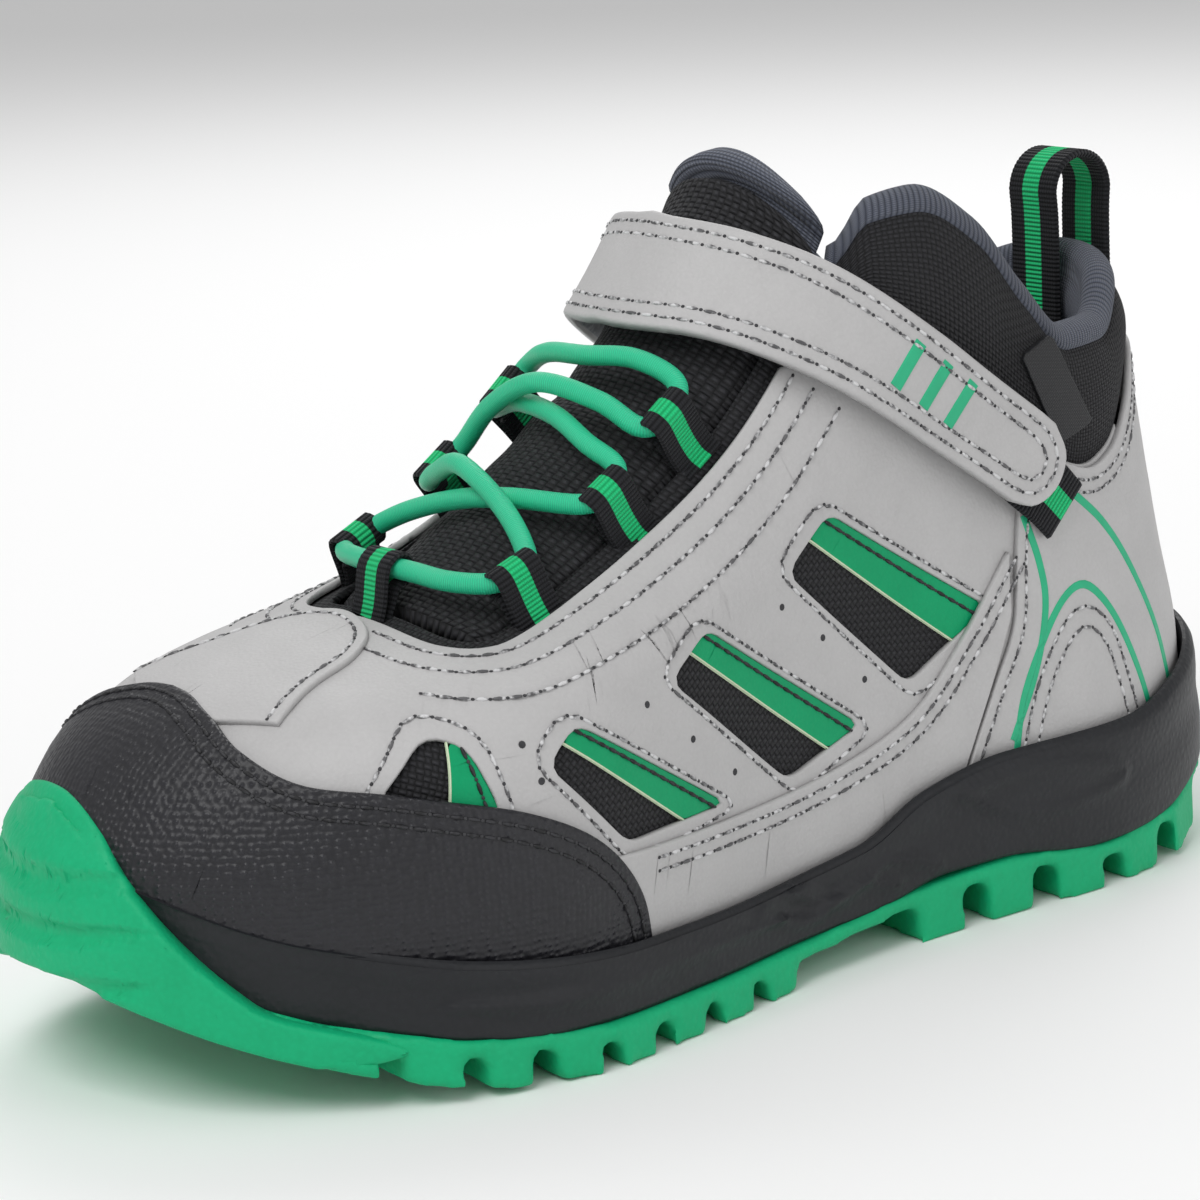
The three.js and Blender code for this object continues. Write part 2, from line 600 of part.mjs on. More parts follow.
// ---------------------------------------------------------------- quarters, windows and inserts
SIDES.forEach(([name, side]) => {
  const windows = WINDOWS.map((w) => sidePrism(sideView(w), side > 0 ? 0 : -WIDE, side > 0 ? WIDE : 0));
  const panel = layer("overlay").intersect(upTo(quarterTop)).intersect(half(side)).subtract(throat(0));
  addPiece("quarter_" + name, windows.reduce((left, w) => left.subtract(w), panel), "leather");
  WINDOWS.forEach((w, i) => {
    const strip = sidePrism(sideView(stripOf(w)), side > 0 ? 0 : -WIDE, side > 0 ? WIDE : 0);
    addPiece("insert_" + name + "_" + (i + 1), layer("insert").intersect(strip), "trimGreen");
  });
});

// ---------------------------------------------------------------- outer layer
const outerLayer = layer("outer").intersect(upTo(flat(TOP)));
addPiece("toe_cap", outerLayer.intersect(sidePrism(capOutline(0))), "capBlack");

const TAB = [[-24, -110], [16, -110], [17, -89], [14, -79], [13, -72], [8, -65.5], [-2, -62.5], [-12, -65.5],
  [-17, -72], [-20, -79], [-24, -89]];
addPiece("vamp_tab", outerLayer.intersect(planPrism(planView(TAB), 50))
  .subtract(sidePrism(capOutline(GAP))), "leather");

const foxingOutline = [...FOXING_EDGE, [52.5, 50], [47, 40.3], [40, 27.3], [37, 8], [-60, 8]];
const heelOutline = [...HEEL_EDGE, [130, 10], [130, 94], ...HEEL_TOP];
SIDES.forEach(([name, side]) => {
  addPiece("foxing_" + name, outerLayer.intersect(sidePrism(sideView(foxingOutline.toReversed())))
    .intersect(half(side)).subtract(sidePrism(capOutline(GAP))), "leather");
});
const patchPrism = (shift) => frontPrism(frontView(shrink(PATCH_VIEW, shift)), 80 * grade.y, 130 * grade.y);
addPiece("heel_panel", outerLayer.intersect(sidePrism(sideView(heelOutline.toReversed())))
  .subtract(patchPrism(0)), "leather");
addPiece("heel_patch", outerLayer.intersect(patchPrism(GAP)), "fabric");

// ---------------------------------------------------------------- collar
const COLLAR_FRONT = -20; // ahead of the pad's front edges
const collarSide = band(padBottom, graded(RIM, -ROLL - GAP), COLLAR_FRONT);
addPiece("collar", layer("collar").intersect(collarSide).subtract(throat(0)), "fabric");
const rollLayer = shell(at.collarLining[0], at.collar[1])
  .intersect(band(graded(RIM, -ROLL), rim, COLLAR_FRONT));
const collarLining = layer("collarLining")
  .intersect(band(padBottom, graded(RIM, -1), COLLAR_FRONT))
  .add(rollLayer).subtract(throat(0));
addPiece("collar_lining", collarLining, "mesh");
addPiece("woven_label", layer("label").intersect(
  sidePrism(sideView([[67.5, 80.5], [75.5, 83.5], [66, 98], [60, 96]]), 0, WIDE)), "webbingBlack");

// ---------------------------------------------------------------- tongue
const TONGUE = { base: -56, side: GUSSET - TONGUE_TUCK, corner: 4.5, taper: 1, foot: 40 };
function tonguePlan() {
  const wide = THROAT_HALF * grade.x - TONGUE.side;
  const mid = THROAT_CENTRE * grade.x;
  const front = TONGUE.base * grade.y;
  return planPrism([
    [mid - wide + TONGUE.corner, front], [mid + wide - TONGUE.corner, front],
    [mid + wide, front + TONGUE.corner], [mid + wide - TONGUE.taper, THROAT.back * grade.y],
    [mid - wide + TONGUE.taper, THROAT.back * grade.y], [mid - wide, front + TONGUE.corner],
  ], TONGUE.foot * grade.z);
}
const tongueTop = TONGUE_TOP * grade.z;
const below = (height) => band(flat(0), flat(height));
const above = (height) => band(flat(height), flat(TOP));
// Everything ahead of the line that the tongue's edges reach back to.
const TONGUE_DEPTH = 20;
const TONGUE_SLANT = 8; // the line follows the instep from this much higher up
const tongueHeights = [44, 54, 60, 66, 74, 84, 96, 108, 120, 132, 142];
const aheadOfEdges = sidePrism(sideView([
  ...tongueHeights.map((z) => [FRONT(z + TONGUE_SLANT) + TONGUE_DEPTH, z]),
  [-100, tongueHeights.at(-1)],
  [-100, tongueHeights[0]],
]));
const tongueShape = (inner, outer) => shell(inner, outer).intersect(tonguePlan()).intersect(aheadOfEdges);
addPiece("tongue", tongueShape(at.tongue[0], at.tongue[1])
  .intersect(below(tongueTop - ROLL - GAP)), "fabric");
addPiece("tongue_lining", tongueShape(at.tongueLining[0], at.tongueLining[1])
  .intersect(below(tongueTop - 1))
  .add(tongueShape(at.tongueLining[0], at.tongue[1]).intersect(above(tongueTop - ROLL))
    .intersect(below(tongueTop))), "mesh");

// ---------------------------------------------------------------- ankle strap
const outerStrap = sidePrism(
  sideView([...strapLine.outerLow, ...strapLine.outerEnd, ...strapLine.outerHigh]), 0, WIDE);
const innerStrap = sidePrism(sideView([...strapLine.innerLow, ...strapLine.innerHigh]), -WIDE, 0);
const strapLayer = layer("strap");
const wholeStrap = strapLayer.intersect(outerStrap).add(strapLayer.intersect(innerStrap));
const behindOuter = foldPrism(STRAP_SPLIT.outer, false, 1);
const behindInner = foldPrism(STRAP_SPLIT.inner, false, -1);
const strapBody = wholeStrap
  .intersect(foldPrism(STRAP_SPLIT.outer, true, 1).add(foldPrism(STRAP_SPLIT.inner, true, -1)));
addPiece("strap", strapBody, "leather");
addPiece("strap_end", strapLayer.intersect(outerStrap).intersect(behindOuter), "leather");
const anchorStack = shell(at.outer[0], at.strap[1]).intersect(innerStrap).intersect(behindInner);
addPiece("strap_anchor", anchorStack, "leather");
const patchArea = sidePrism(sideView([[41, 84], [50, 77.5], [54, 83], [50, 90], [44, 94.5]]), 0, WIDE);
addPiece("loop_patch", layer("loopPatch").intersect(patchArea), "pile");
addPiece("hook_patch", layer("hookPatch").intersect(patchArea), "pile");
addPiece("pull_tab", layer("hookPatch").intersect(
  sidePrism(sideView([[55, 72], [63, 64.5], [70.5, 70.5], [60, 83]]), 0, WIDE)), "webbing");

// ---------------------------------------------------------------- lace and its loops
const LACE_LIFT = at.outer[0] + GAP + LOOP.thick + LOOP.slack + LACE_DIAMETER / 2;

// The elastic lace's route as [x, y, extra lift off the form] at the base size. Its two ends meet
// inside the base loop.
const LACE_ROUTE = [
  [0.4, -54, 0], [7, -53.5, 0], [14, -52.5, 0.2], [19.5, -49, 0.1], [21, -45, 0], [19.5, -41, 0.1],
  [11, -37.3, 1.7], [0, -34.5, 4.3], [-9, -33.6, 1.5], [-14.2, -32.5, 0.1], [-16, -28.5, 0],
  [-14.2, -24.5, 0.1],
  [-7, -21.8, 2.4], [2, -19, 4.4], [11, -16.6, 1.5], [17.3, -15, 0.1], [19, -11, 0], [17.5, -7, 0.1],
  [11, -8.8, 0.4], [3, -11.8, 0.6], [-6, -11.5, 0.4], [-13.3, -10, 0.1], [-15, -14, 0], [-13.3, -18, 0.1],
  [-5, -19.8, 0], [5, -21, 0], [13, -21.8, 0], [18.5, -21.3, 0.1], [20, -25, 0], [18.5, -29, 0.1],
  [9, -34.5, 0], [0, -37.8, 0], [-9, -40.5, 0], [-15.5, -43, 0.1], [-17, -47, 0], [-15, -51, 0.1],
  [-7, -53.5, 0], [-0.4, -54, 0],
];
const laceCurve = new THREE.CatmullRomCurve3(
  LACE_ROUTE.map(([x, y, lift]) => instep(x, y, LACE_LIFT + lift)));

// A loop's solid: a short tail and an eye round the lace, which runs along the given direction.
function laceLoop(place, outwards, normal) {
  const along = new THREE.Vector3().crossVectors(outwards, normal);
  const hole = LACE_DIAMETER / 2 + LOOP.slack;
  const rim = hole + LOOP.thick;
  const { stretch, tail } = LOOP;
  const outline = new THREE.Shape();
  outline.moveTo(-stretch, -rim);
  outline.lineTo(tail + rim, -rim);
  outline.lineTo(tail + rim, -rim + 2 * LOOP.thick);
  outline.lineTo(stretch + hole, -rim + 2 * LOOP.thick);
  outline.absarc(stretch, 0, rim, 0, Math.PI / 2, false);
  outline.lineTo(-stretch, rim);
  outline.absarc(-stretch, 0, rim, Math.PI / 2, (3 * Math.PI) / 2, false);
  const eye = new THREE.Path();
  eye.absarc(stretch, 0, hole, Math.PI / 2, -Math.PI / 2, true);
  eye.absarc(-stretch, 0, hole, (3 * Math.PI) / 2, Math.PI / 2, true);
  outline.holes.push(eye);
  const g = new THREE.ExtrudeGeometry(outline, { depth: LOOP.wide, bevelEnabled: false, curveSegments: 4 });
  g.translate(0, 0, -LOOP.wide / 2);
  g.applyMatrix4(basis(outwards, normal, along).setPosition(place));
  return solid(g);
}

// The loops by the route point that each one holds and the way that its tail points.
const LACE_LOOPS = [
  ["lateral_1", 4, [1, 0, 0]], ["lateral_2", 28, [1, 0, 0]], ["lateral_3", 16, [1, 0, 0]],
  ["medial_1", 34, [-1, 0, 0]], ["medial_2", 10, [-1, 0, 0]], ["medial_3", 22, [-1, 0, 0]],
  ["base", 0, [0, -1, 0]],
];
LACE_LOOPS.forEach(([name, index, tail]) => {
  const along = laceCurve.getTangent(index / (LACE_ROUTE.length - 1));
  const place = laceCurve.getPoint(index / (LACE_ROUTE.length - 1));
  const normal = formNormal(place).addScaledVector(along, -formNormal(place).dot(along)).normalize();
  const outwards = new THREE.Vector3().crossVectors(along, normal);
  if (outwards.dot(new THREE.Vector3(...tail)) < 0) outwards.negate();
  addPiece("lace_loop_" + name, laceLoop(place, outwards, normal), "webbing");
});
const LACE_SIDES = 8;
const laceSection = new THREE.Shape(Array.from({ length: LACE_SIDES }, (_, i) => {
  const turn = (2 * Math.PI * i) / LACE_SIDES;
  return new THREE.Vector2((LACE_DIAMETER / 2) * Math.cos(turn), (LACE_DIAMETER / 2) * Math.sin(turn));
}));
addPiece("elastic_lace", solid(new THREE.ExtrudeGeometry(laceSection, {
  steps: 72, extrudePath: laceCurve, bevelEnabled: false })), "lace");

// ---------------------------------------------------------------- heel pull loop
const HEEL_DEPTH = 30; // well past the collar's back wall on both sides
const heelTop = 112;
const heelOut = skin(BACK(heelTop), heelTop, 1, 0);
{
  const foot = (RIM(BACK(heelTop)) - PULL_LOOP.sewn) * grade.z;
  const reach = PULL_LOOP.wide / 2 + GAP;
  const column = planPrism([
    [heelOut.x - reach, heelOut.y - HEEL_DEPTH], [heelOut.x + reach, heelOut.y - HEEL_DEPTH],
    [heelOut.x + reach, heelOut.y + HEEL_DEPTH], [heelOut.x - reach, heelOut.y + HEEL_DEPTH],
  ], foot);
  const inner = collarLining.intersect(column).boundingBox().min[1] - GAP - PULL_LOOP.thick;
  const outer = heelOut.y + GAP + PULL_LOOP.thick;
  const middle = (inner + outer) / 2;
  const radius = (outer - inner) / 2;
  const shoulder = RIM(BACK(heelTop)) * grade.z + PULL_LOOP.height - radius;
  const arch = new THREE.Shape();
  arch.moveTo(outer, foot);
  arch.lineTo(outer, shoulder);
  arch.absarc(middle, shoulder, radius, 0, Math.PI, false);
  arch.lineTo(inner, foot);
  arch.lineTo(inner + PULL_LOOP.thick, foot);
  arch.lineTo(inner + PULL_LOOP.thick, shoulder);
  arch.absarc(middle, shoulder, radius - PULL_LOOP.thick, Math.PI, 0, true);
  arch.lineTo(outer - PULL_LOOP.thick, foot);
  const g = new THREE.ExtrudeGeometry(arch, {
    depth: PULL_LOOP.wide, bevelEnabled: false, curveSegments: 10 });
  g.applyMatrix4(basis(AXIS_Y, AXIS_Z, AXIS_X)).translate(heelOut.x - PULL_LOOP.wide / 2, 0, 0);
  addPiece("heel_loop", solid(g), "webbing");
}

// The origin is the middle of the whole boot's box, on the ground.
const box = new THREE.Box3().setFromObject(boot);
const middle = box.getCenter(new THREE.Vector3());
boot.position.set(-middle.x, -middle.y, -box.min.z);

export default boot;
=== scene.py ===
"""A kids' mid-cut hiking boot: upper, sole, elastic lace and ankle strap.

Shapes are worked out in millimetres on the boot's pattern and placed in metres in the row frame.
"""
from __future__ import annotations

import json
import logging
import math
from dataclasses import dataclass
from enum import Enum
from typing import Callable, Sequence

import bmesh
import bpy
import numpy as np
from mathutils import Matrix, Vector


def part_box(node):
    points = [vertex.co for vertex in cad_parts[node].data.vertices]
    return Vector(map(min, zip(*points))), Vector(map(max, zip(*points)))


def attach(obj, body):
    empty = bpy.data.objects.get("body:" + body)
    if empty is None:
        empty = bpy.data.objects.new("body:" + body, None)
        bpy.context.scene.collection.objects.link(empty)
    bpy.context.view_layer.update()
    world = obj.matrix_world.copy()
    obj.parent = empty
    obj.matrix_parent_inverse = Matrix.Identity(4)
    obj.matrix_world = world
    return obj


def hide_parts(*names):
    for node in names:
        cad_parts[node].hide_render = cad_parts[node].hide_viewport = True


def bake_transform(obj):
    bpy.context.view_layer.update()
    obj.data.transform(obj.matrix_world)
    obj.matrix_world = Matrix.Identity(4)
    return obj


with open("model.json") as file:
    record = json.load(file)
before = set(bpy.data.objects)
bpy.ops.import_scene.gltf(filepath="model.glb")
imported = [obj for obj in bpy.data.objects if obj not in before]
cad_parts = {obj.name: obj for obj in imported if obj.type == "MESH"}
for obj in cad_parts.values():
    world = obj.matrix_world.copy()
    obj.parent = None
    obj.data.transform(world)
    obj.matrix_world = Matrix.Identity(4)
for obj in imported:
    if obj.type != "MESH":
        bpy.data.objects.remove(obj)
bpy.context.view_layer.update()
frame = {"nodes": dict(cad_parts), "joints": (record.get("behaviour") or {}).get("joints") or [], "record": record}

LOG = logging.getLogger("boot")
Points = np.ndarray
MM = 0.001
PATTERN_ORIGIN = np.array([-0.447, 2.041, 0.0])  # the pattern's origin in the row frame, mm
GAP = 0.4  # between the tread's top and the foot of the midsole's wall, mm


def unit(vectors: Points) -> Points:
    """Vectors at length one.

    Args:
        vectors: One a row.

    Returns:
        The unit vectors.
    """
    return vectors / np.linalg.norm(vectors, axis=1)[:, None]


def distance_run(path: Points) -> Points:
    """How far along a path each of its points lies.

    Args:
        path: The points.

    Returns:
        The distances from its start.
    """
    return np.concatenate([[0], np.cumsum(np.linalg.norm(np.diff(path, axis=0), axis=1))])


def looked_up(table: Points, run: Points, places: Points) -> Points:
    """Rows of a table, read at places between them.

    Args:
        table: The rows.
        run: Where each row lies.
        places: Where to read.

    Returns:
        The rows there.
    """
    return np.stack([np.interp(places, run, column) for column in table.T], 1)


class Side(Enum):
    """The outer (little toe) and inner sides of a left boot."""

    LATERAL = 1
    MEDIAL = -1

    @property
    def label(self) -> str:
        """The side's word in piece names."""
        return self.name.lower()


# ---------------------------------------------------------------- the boot's form
class Profile:
    """A smooth curve through (t, value) points that never overshoots them."""

    def __init__(self, *points: tuple[float, float]) -> None:
        """Prepares the curve.

        Args:
            points: The points in the order of t.
        """
        self.t, self.v = np.array(points, float).T
        self.step = np.diff(self.t)
        slope = np.diff(self.v) / self.step
        near = 2 * self.step[1:] + self.step[:-1]
        far = self.step[1:] + 2 * self.step[:-1]
        with np.errstate(divide="ignore", invalid="ignore"):
            mean = (near + far) / (near / slope[:-1] + far / slope[1:])
        inner = np.where(slope[:-1] * slope[1:] > 0, mean, 0)
        self.tangent = np.concatenate([slope[:1], inner, slope[-1:]])

    def __call__(self, t: Points | float) -> Points:
        """The curve's value at t, straight beyond its ends.

        Args:
            t: One place or many.

        Returns:
            The values.
        """
        t = np.asarray(t, float)
        i = np.clip(np.searchsorted(self.t, t) - 1, 0, len(self.step) - 1)
        h = self.step[i]
        s = np.clip((t - self.t[i]) / h, 0, 1)
        rise = s * s * (3 - 2 * s)
        value = self.v[i] * (1 - rise) + self.v[i + 1] * rise
        value += s * (1 - s) ** 2 * h * self.tangent[i] + s * s * (s - 1) * h * self.tangent[i + 1]
        value += np.minimum(t - self.t[0], 0) * self.tangent[0]
        return value + np.maximum(t - self.t[-1], 0) * self.tangent[-1]


FRONT = Profile((20, -118), (36, -117.5), (47.5, -112), (56, -103), (61, -92.5), (64, -80), (67, -67),
                (71, -55), (78.5, -40.5), (91.5, -23), (105.5, -7.5), (120, 5), (134, 14), (144, 17.5))
BACK = Profile((4, 112.5), (23, 114), (38, 113.5), (54, 110.5), (74, 107), (89, 104.5), (104, 103.5),
               (119, 104.5), (134, 107))
HALF_OUTER = Profile((-120, 46), (-58, 46), (-28, 41), (2, 35), (32, 33), (62, 34), (120, 34))
HALF_INNER = Profile((-120, 42), (-88, 43), (-58, 42), (-28, 37), (2, 31), (32, 30), (62, 31), (120, 32))
FORE_SHARE = Profile((14, 0.97), (29, 1), (49, 0.98), (64, 0.93), (84, 0.87), (114, 0.86), (150, 0.86))
REAR_SHARE = Profile((8, 0.97), (23, 1), (43, 0.97), (63, 0.92), (83, 0.9), (103, 0.93), (128, 1))
CENTRE = Profile((-120, -9), (-93, -6), (-58, -1), (-18, 0), (42, 0), (80, 1), (120, 1))
TOE_ROUND = Profile((20, 66), (50, 66), (75, 63), (95, 59), (140, 46))
HEEL_ROUND = Profile((10, 52), (60, 50), (140, 48))
ROUNDNESS = 2.3
WAIST = (-38.0, 32.0)
RIM = Profile((-40, 121), (22, 121), (29, 128), (37, 129), (49, 122), (60, 110), (73, 100), (85, 100),
              (97, 107), (112, 112))
QUARTER_TOP = Profile((-30, 122), (12, 113), (26, 103), (48, 88), (60, 82), (68, 77), (75, 75), (82, 77),
                      (90, 84), (98, 93), (112, 96))
WALL_TOP = Profile((-120, 44), (-112, 36), (-97, 28), (-81, 24), (-60, 20.5), (-39, 18.5), (-17, 18),
                   (12, 20), (29, 26), (48, 29), (77, 29.5), (93, 33), (116, 40))
SPINE = Profile((-120, 26), (-90, 30), (-60, 36), (-20, 46), (20, 56), (110, 60))


class BootForm:
    """The smooth body that the upper is lasted over: zero on the outer face of the quarters."""

    def half_width_squared(self, y: Points, z: Points, side: Points) -> Points:
        """Square of the form's half width.

        Args:
            y: Places along the boot.
            z: Heights.
            side: +1 on the outer side and -1 on the inner side.

        Returns:
            The squares, negative ahead of the toe and behind the heel.
        """
        foot = np.where(side > 0, HALF_OUTER(y), HALF_INNER(y))
        t = np.clip((y - WAIST[0]) / (WAIST[1] - WAIST[0]), 0, 1)
        rear = t * t * (3 - 2 * t)
        half = foot * ((1 - rear) * FORE_SHARE(z) + rear * REAR_SHARE(z))
        share = half * half
        for ratio in ((y - FRONT(z)) / TOE_ROUND(z), (BACK(z) - y) / HEEL_ROUND(z)):
            share = share * (1 - np.maximum(1 - ratio, 0) ** ROUNDNESS)
        return share

    def value(self, p: Points) -> Points:
        """Negative inside the form.

        Args:
            p: Points, one to a row.

        Returns:
            The form's value at each.
        """
        across = p[:, 0] - CENTRE(p[:, 1])
        return across**2 - self.half_width_squared(p[:, 1], p[:, 2], np.sign(across))

    def slope(self, p: Points) -> Points:
        """The value's gradient.

        Args:
            p: Points, one to a row.

        Returns:
            One vector to a row.
        """
        h = 0.05
        return np.stack([(self.value(p + h * a) - self.value(p - h * a)) / (2 * h) for a in np.eye(3)], 1)

    def normal(self, p: Points) -> Points:
        """Unit vectors that point out of the form at the points."""
        g = self.slope(p)
        return unit(g)

    def depth(self, p: Points) -> Points:
        """How far the points stand out of the form, about, in mm."""
        return self.value(p) / np.linalg.norm(self.slope(p), axis=1)

    def settle(self, p: Points, offset: Points | float = 0.0) -> Points:
        """Moves points straight onto the form and then out of it.

        Args:
            p: Points near the form.
            offset: How far out, in mm.

        Returns:
            The moved points.
        """
        for _ in range(6):
            g = self.slope(p)
            p = p - g * (self.value(p) / np.maximum((g**2).sum(1), 1e-9))[:, None]
        return p + self.normal(p) * np.reshape(offset, (-1, 1))

    def cast(self, origin: Points, direction: Points) -> Points:
        """Where rays from inside the form leave it.

        Args:
            origin: Starts of the rays.
            direction: Unit directions.

        Returns:
            The points on the form.
        """
        low, high = np.zeros(len(origin)), np.full(len(origin), 95.0)
        for _ in range(28):
            middle = (low + high) / 2
            inside = self.value(origin + middle[:, None] * direction) < 0
            low, high = np.where(inside, middle, low), np.where(inside, high, middle)
        return origin + high[:, None] * direction


FORM = BootForm()


class Chart(Enum):
    """A way to lay the curved form out flat, in mm."""

    WRAP = "along the boot, and round it over the instep"
    INSTEP = "across the boot, and up the instep"
    HEEL = "round the heel, and up"
    TOE = "round the toe, and up over it"

    def to_form(self, flat: Points) -> Points:
        """Takes flat places onto the form.

        Args:
            flat: Places, two numbers to a row.

        Returns:
            Points on the form.
        """
        u, v = flat[:, 0], flat[:, 1]
        zero = np.zeros_like(u)
        if self is Chart.WRAP:
            turn = v / WRAP_RADIUS
            return FORM.cast(np.stack([CENTRE(u), u, SPINE(u)], 1),
                             np.stack([np.cos(turn), zero, np.sin(turn)], 1))
        if self is Chart.INSTEP:
            middle = v[:, None] * UP_INSTEP + INSTEP_DEPTH * OFF_INSTEP + u[:, None] * np.eye(3)[0]
            return FORM.cast(middle, np.broadcast_to(OFF_INSTEP, middle.shape))
        if self is Chart.HEEL:
            turn = u / HEEL_RADIUS
            return FORM.cast(np.stack([zero + HEEL_AXIS[0], zero + HEEL_AXIS[1], v], 1),
                             np.stack([np.cos(turn), np.sin(turn), zero], 1))
        turn, rise = u / TOE_RADIUS, v / TOE_RADIUS
        ray = np.stack([np.sin(turn) * np.cos(rise), -np.cos(turn) * np.cos(rise), np.sin(rise)], 1)
        return FORM.cast(np.broadcast_to(TOE_MIDDLE, ray.shape), ray)

    def to_flat(self, p: Points) -> Points:
        """Takes points on the form to flat places.

        Args:
            p: Points on the form.

        Returns:
            Flat places, two numbers to a row.
        """
        x, y, z = p.T
        if self is Chart.WRAP:
            turn = np.arctan2(z - SPINE(y), x - CENTRE(y))
            turn = np.where(turn < -np.pi / 2, turn + 2 * np.pi, turn)
            return np.stack([y, turn * WRAP_RADIUS], 1)
        if self is Chart.INSTEP:
            return np.stack([x, p @ UP_INSTEP], 1)
        if self is Chart.HEEL:
            turn = np.arctan2(y - HEEL_AXIS[1], x - HEEL_AXIS[0])
            turn = np.where(turn < -np.pi / 2, turn + 2 * np.pi, turn)
            return np.stack([turn * HEEL_RADIUS, z], 1)
        d = p - TOE_MIDDLE
        turn = np.arctan2(d[:, 0], -d[:, 1])
        return np.stack([turn, np.arctan2(d[:, 2], np.hypot(d[:, 0], d[:, 1]))], 1) * TOE_RADIUS


WRAP_RADIUS = 40.0
HEEL_RADIUS = 40.0
TOE_RADIUS = 45.0
HEEL_AXIS = (1.0, 60.0)
TOE_MIDDLE = np.array([-5.0, -70.0, 25.0])
UP_INSTEP = np.array([0.0, 0.71, 0.7042])
OFF_INSTEP = np.array([0.0, -0.7042, 0.71])
INSTEP_DEPTH = 45.0


# ---------------------------------------------------------------- paths on the form
def resample(path: Points, pitch: float) -> Points:
    """Spaces a path's points evenly.

    Args:
        path: Points along the path.
        pitch: The spacing wanted.

    Returns:
        The path with even spacing, both ends kept.
    """
    run = distance_run(path)
    count = max(int(round(run[-1] / pitch)), 1)
    at = np.linspace(0, run[-1], count + 1)
    return looked_up(path, run, at)


def rounded(points: Sequence[Sequence[float]], closed: bool = False, dense: int = 40) -> Points:
    """A Catmull-Rom curve through the points.

    Args:
        points: The points.
        closed: True for a loop.
        dense: Steps between two points.

    Returns:
        Many points along the curve.
    """
    p = np.array(points, float)
    if closed:
        p = np.concatenate([p[-1:], p, p[:2]])
    else:
        p = np.concatenate([2 * p[:1] - p[1:2], p, 2 * p[-1:] - p[-2:-1]])
    s = np.linspace(0, 1, dense, endpoint=False)[:, None]
    spans = []
    for a, b, c, d in zip(p, p[1:], p[2:], p[3:]):
        spans.append(b + s * ((c - a) / 2 + s * (a - 2.5 * b + 2 * c - d / 2
                                                   + s * (-a / 2 + 1.5 * b - 1.5 * c + d / 2))))
    return np.concatenate(spans + [p[-2:-1]])


def soft_corners(points: Sequence[Sequence[float]], radius: float) -> Points:
    """A polygon with its corners cut round.

    Args:
        points: The corners.
        radius: How far from each corner the curve starts.

    Returns:
        Points round the closed outline, the first repeated at the end.
    """
    p = np.array(points, float)
    bends = []
    for before, corner, after in zip(np.roll(p, 1, 0), p, np.roll(p, -1, 0)):
        a, b = before - corner, after - corner
        a *= min(radius / np.linalg.norm(a), 0.45)
        b *= min(radius / np.linalg.norm(b), 0.45)
        s = np.linspace(0, 1, 7)[:, None]
        bends.append(corner + a * (1 - s) ** 2 + b * s**2)
    return np.concatenate(bends + [bends[0][:1]])


def on_side(points: Points, side: Side, pitch: float = 1.5) -> Points:
    """Places given in the side view, on the form.

    Args:
        points: (y, z) along a path.
        side: Which side of the boot.
        pitch: The spacing wanted.

    Returns:
        Points on the form.
    """
    path = resample(np.array(points, float), 0.1)
    y, z = path.T
    square = FORM.half_width_squared(y, z, np.full(len(y), side.value))
    x = CENTRE(y) + side.value * np.sqrt(np.maximum(square, 0))
    return resample(np.stack([x, y, z], 1), pitch)


def on_instep(points: Points, pitch: float = 1.5) -> Points:
    """Places given from above, on the form's top.

    Args:
        points: (x, y) along a path.
        pitch: The spacing wanted.

    Returns:
        Points on the form.
    """
    path = resample(np.array(points, float), 0.5)
    start = np.stack([path[:, 0], path[:, 1], SPINE(path[:, 1])], 1)
    return resample(FORM.cast(start, np.broadcast_to(np.eye(3)[2], start.shape)), pitch)


def tangents(path: Points) -> Points:
    """Unit directions along a path."""
    t = np.gradient(path, axis=0)
    return t / np.maximum(np.linalg.norm(t, axis=1), 1e-9)[:, None]


def beside(path: Points, distance: float) -> Points:
    """A path on the form, moved to its left as seen from outside.

    Args:
        path: Points on the form.
        distance: How far, in mm; negative for the right.

    Returns:
        The moved path, on the form.
    """
    left = np.cross(FORM.normal(path), tangents(path))
    return FORM.settle(path + left * distance)


# ---------------------------------------------------------------- finishes
class Texture(Enum):
    """What a finish's making leaves on its surface."""

    GRAIN = "embossed leather grain"
    PEBBLE = "small moulded domes in rows"
    OXFORD = "square basket weave"
    KNIT = "spacer mesh with ribs of loops"
    RIBBED = "webbing with a coloured stripe and ribs across"
    WRAPPED = "fine thread wound round a cord"
    MOULDED = "rubber or foam from a sandblasted mould"
    TWISTED = "sewing thread"
    PLAIN = "rolled or pressed sheet"


def linear(code: str) -> tuple[float, float, float, float]:
    """An sRGB hex colour as linear values.

    Args:
        code: Six hex digits.

    Returns:
        Red, green, blue and alpha.
    """
    parts = [int(code[i:i + 2], 16) / 255 for i in (0, 2, 4)]
    red, green, blue = (c / 12.92 if c <= 0.04045 else ((c + 0.055) / 1.055) ** 2.4 for c in parts)
    return red, green, blue, 1.0


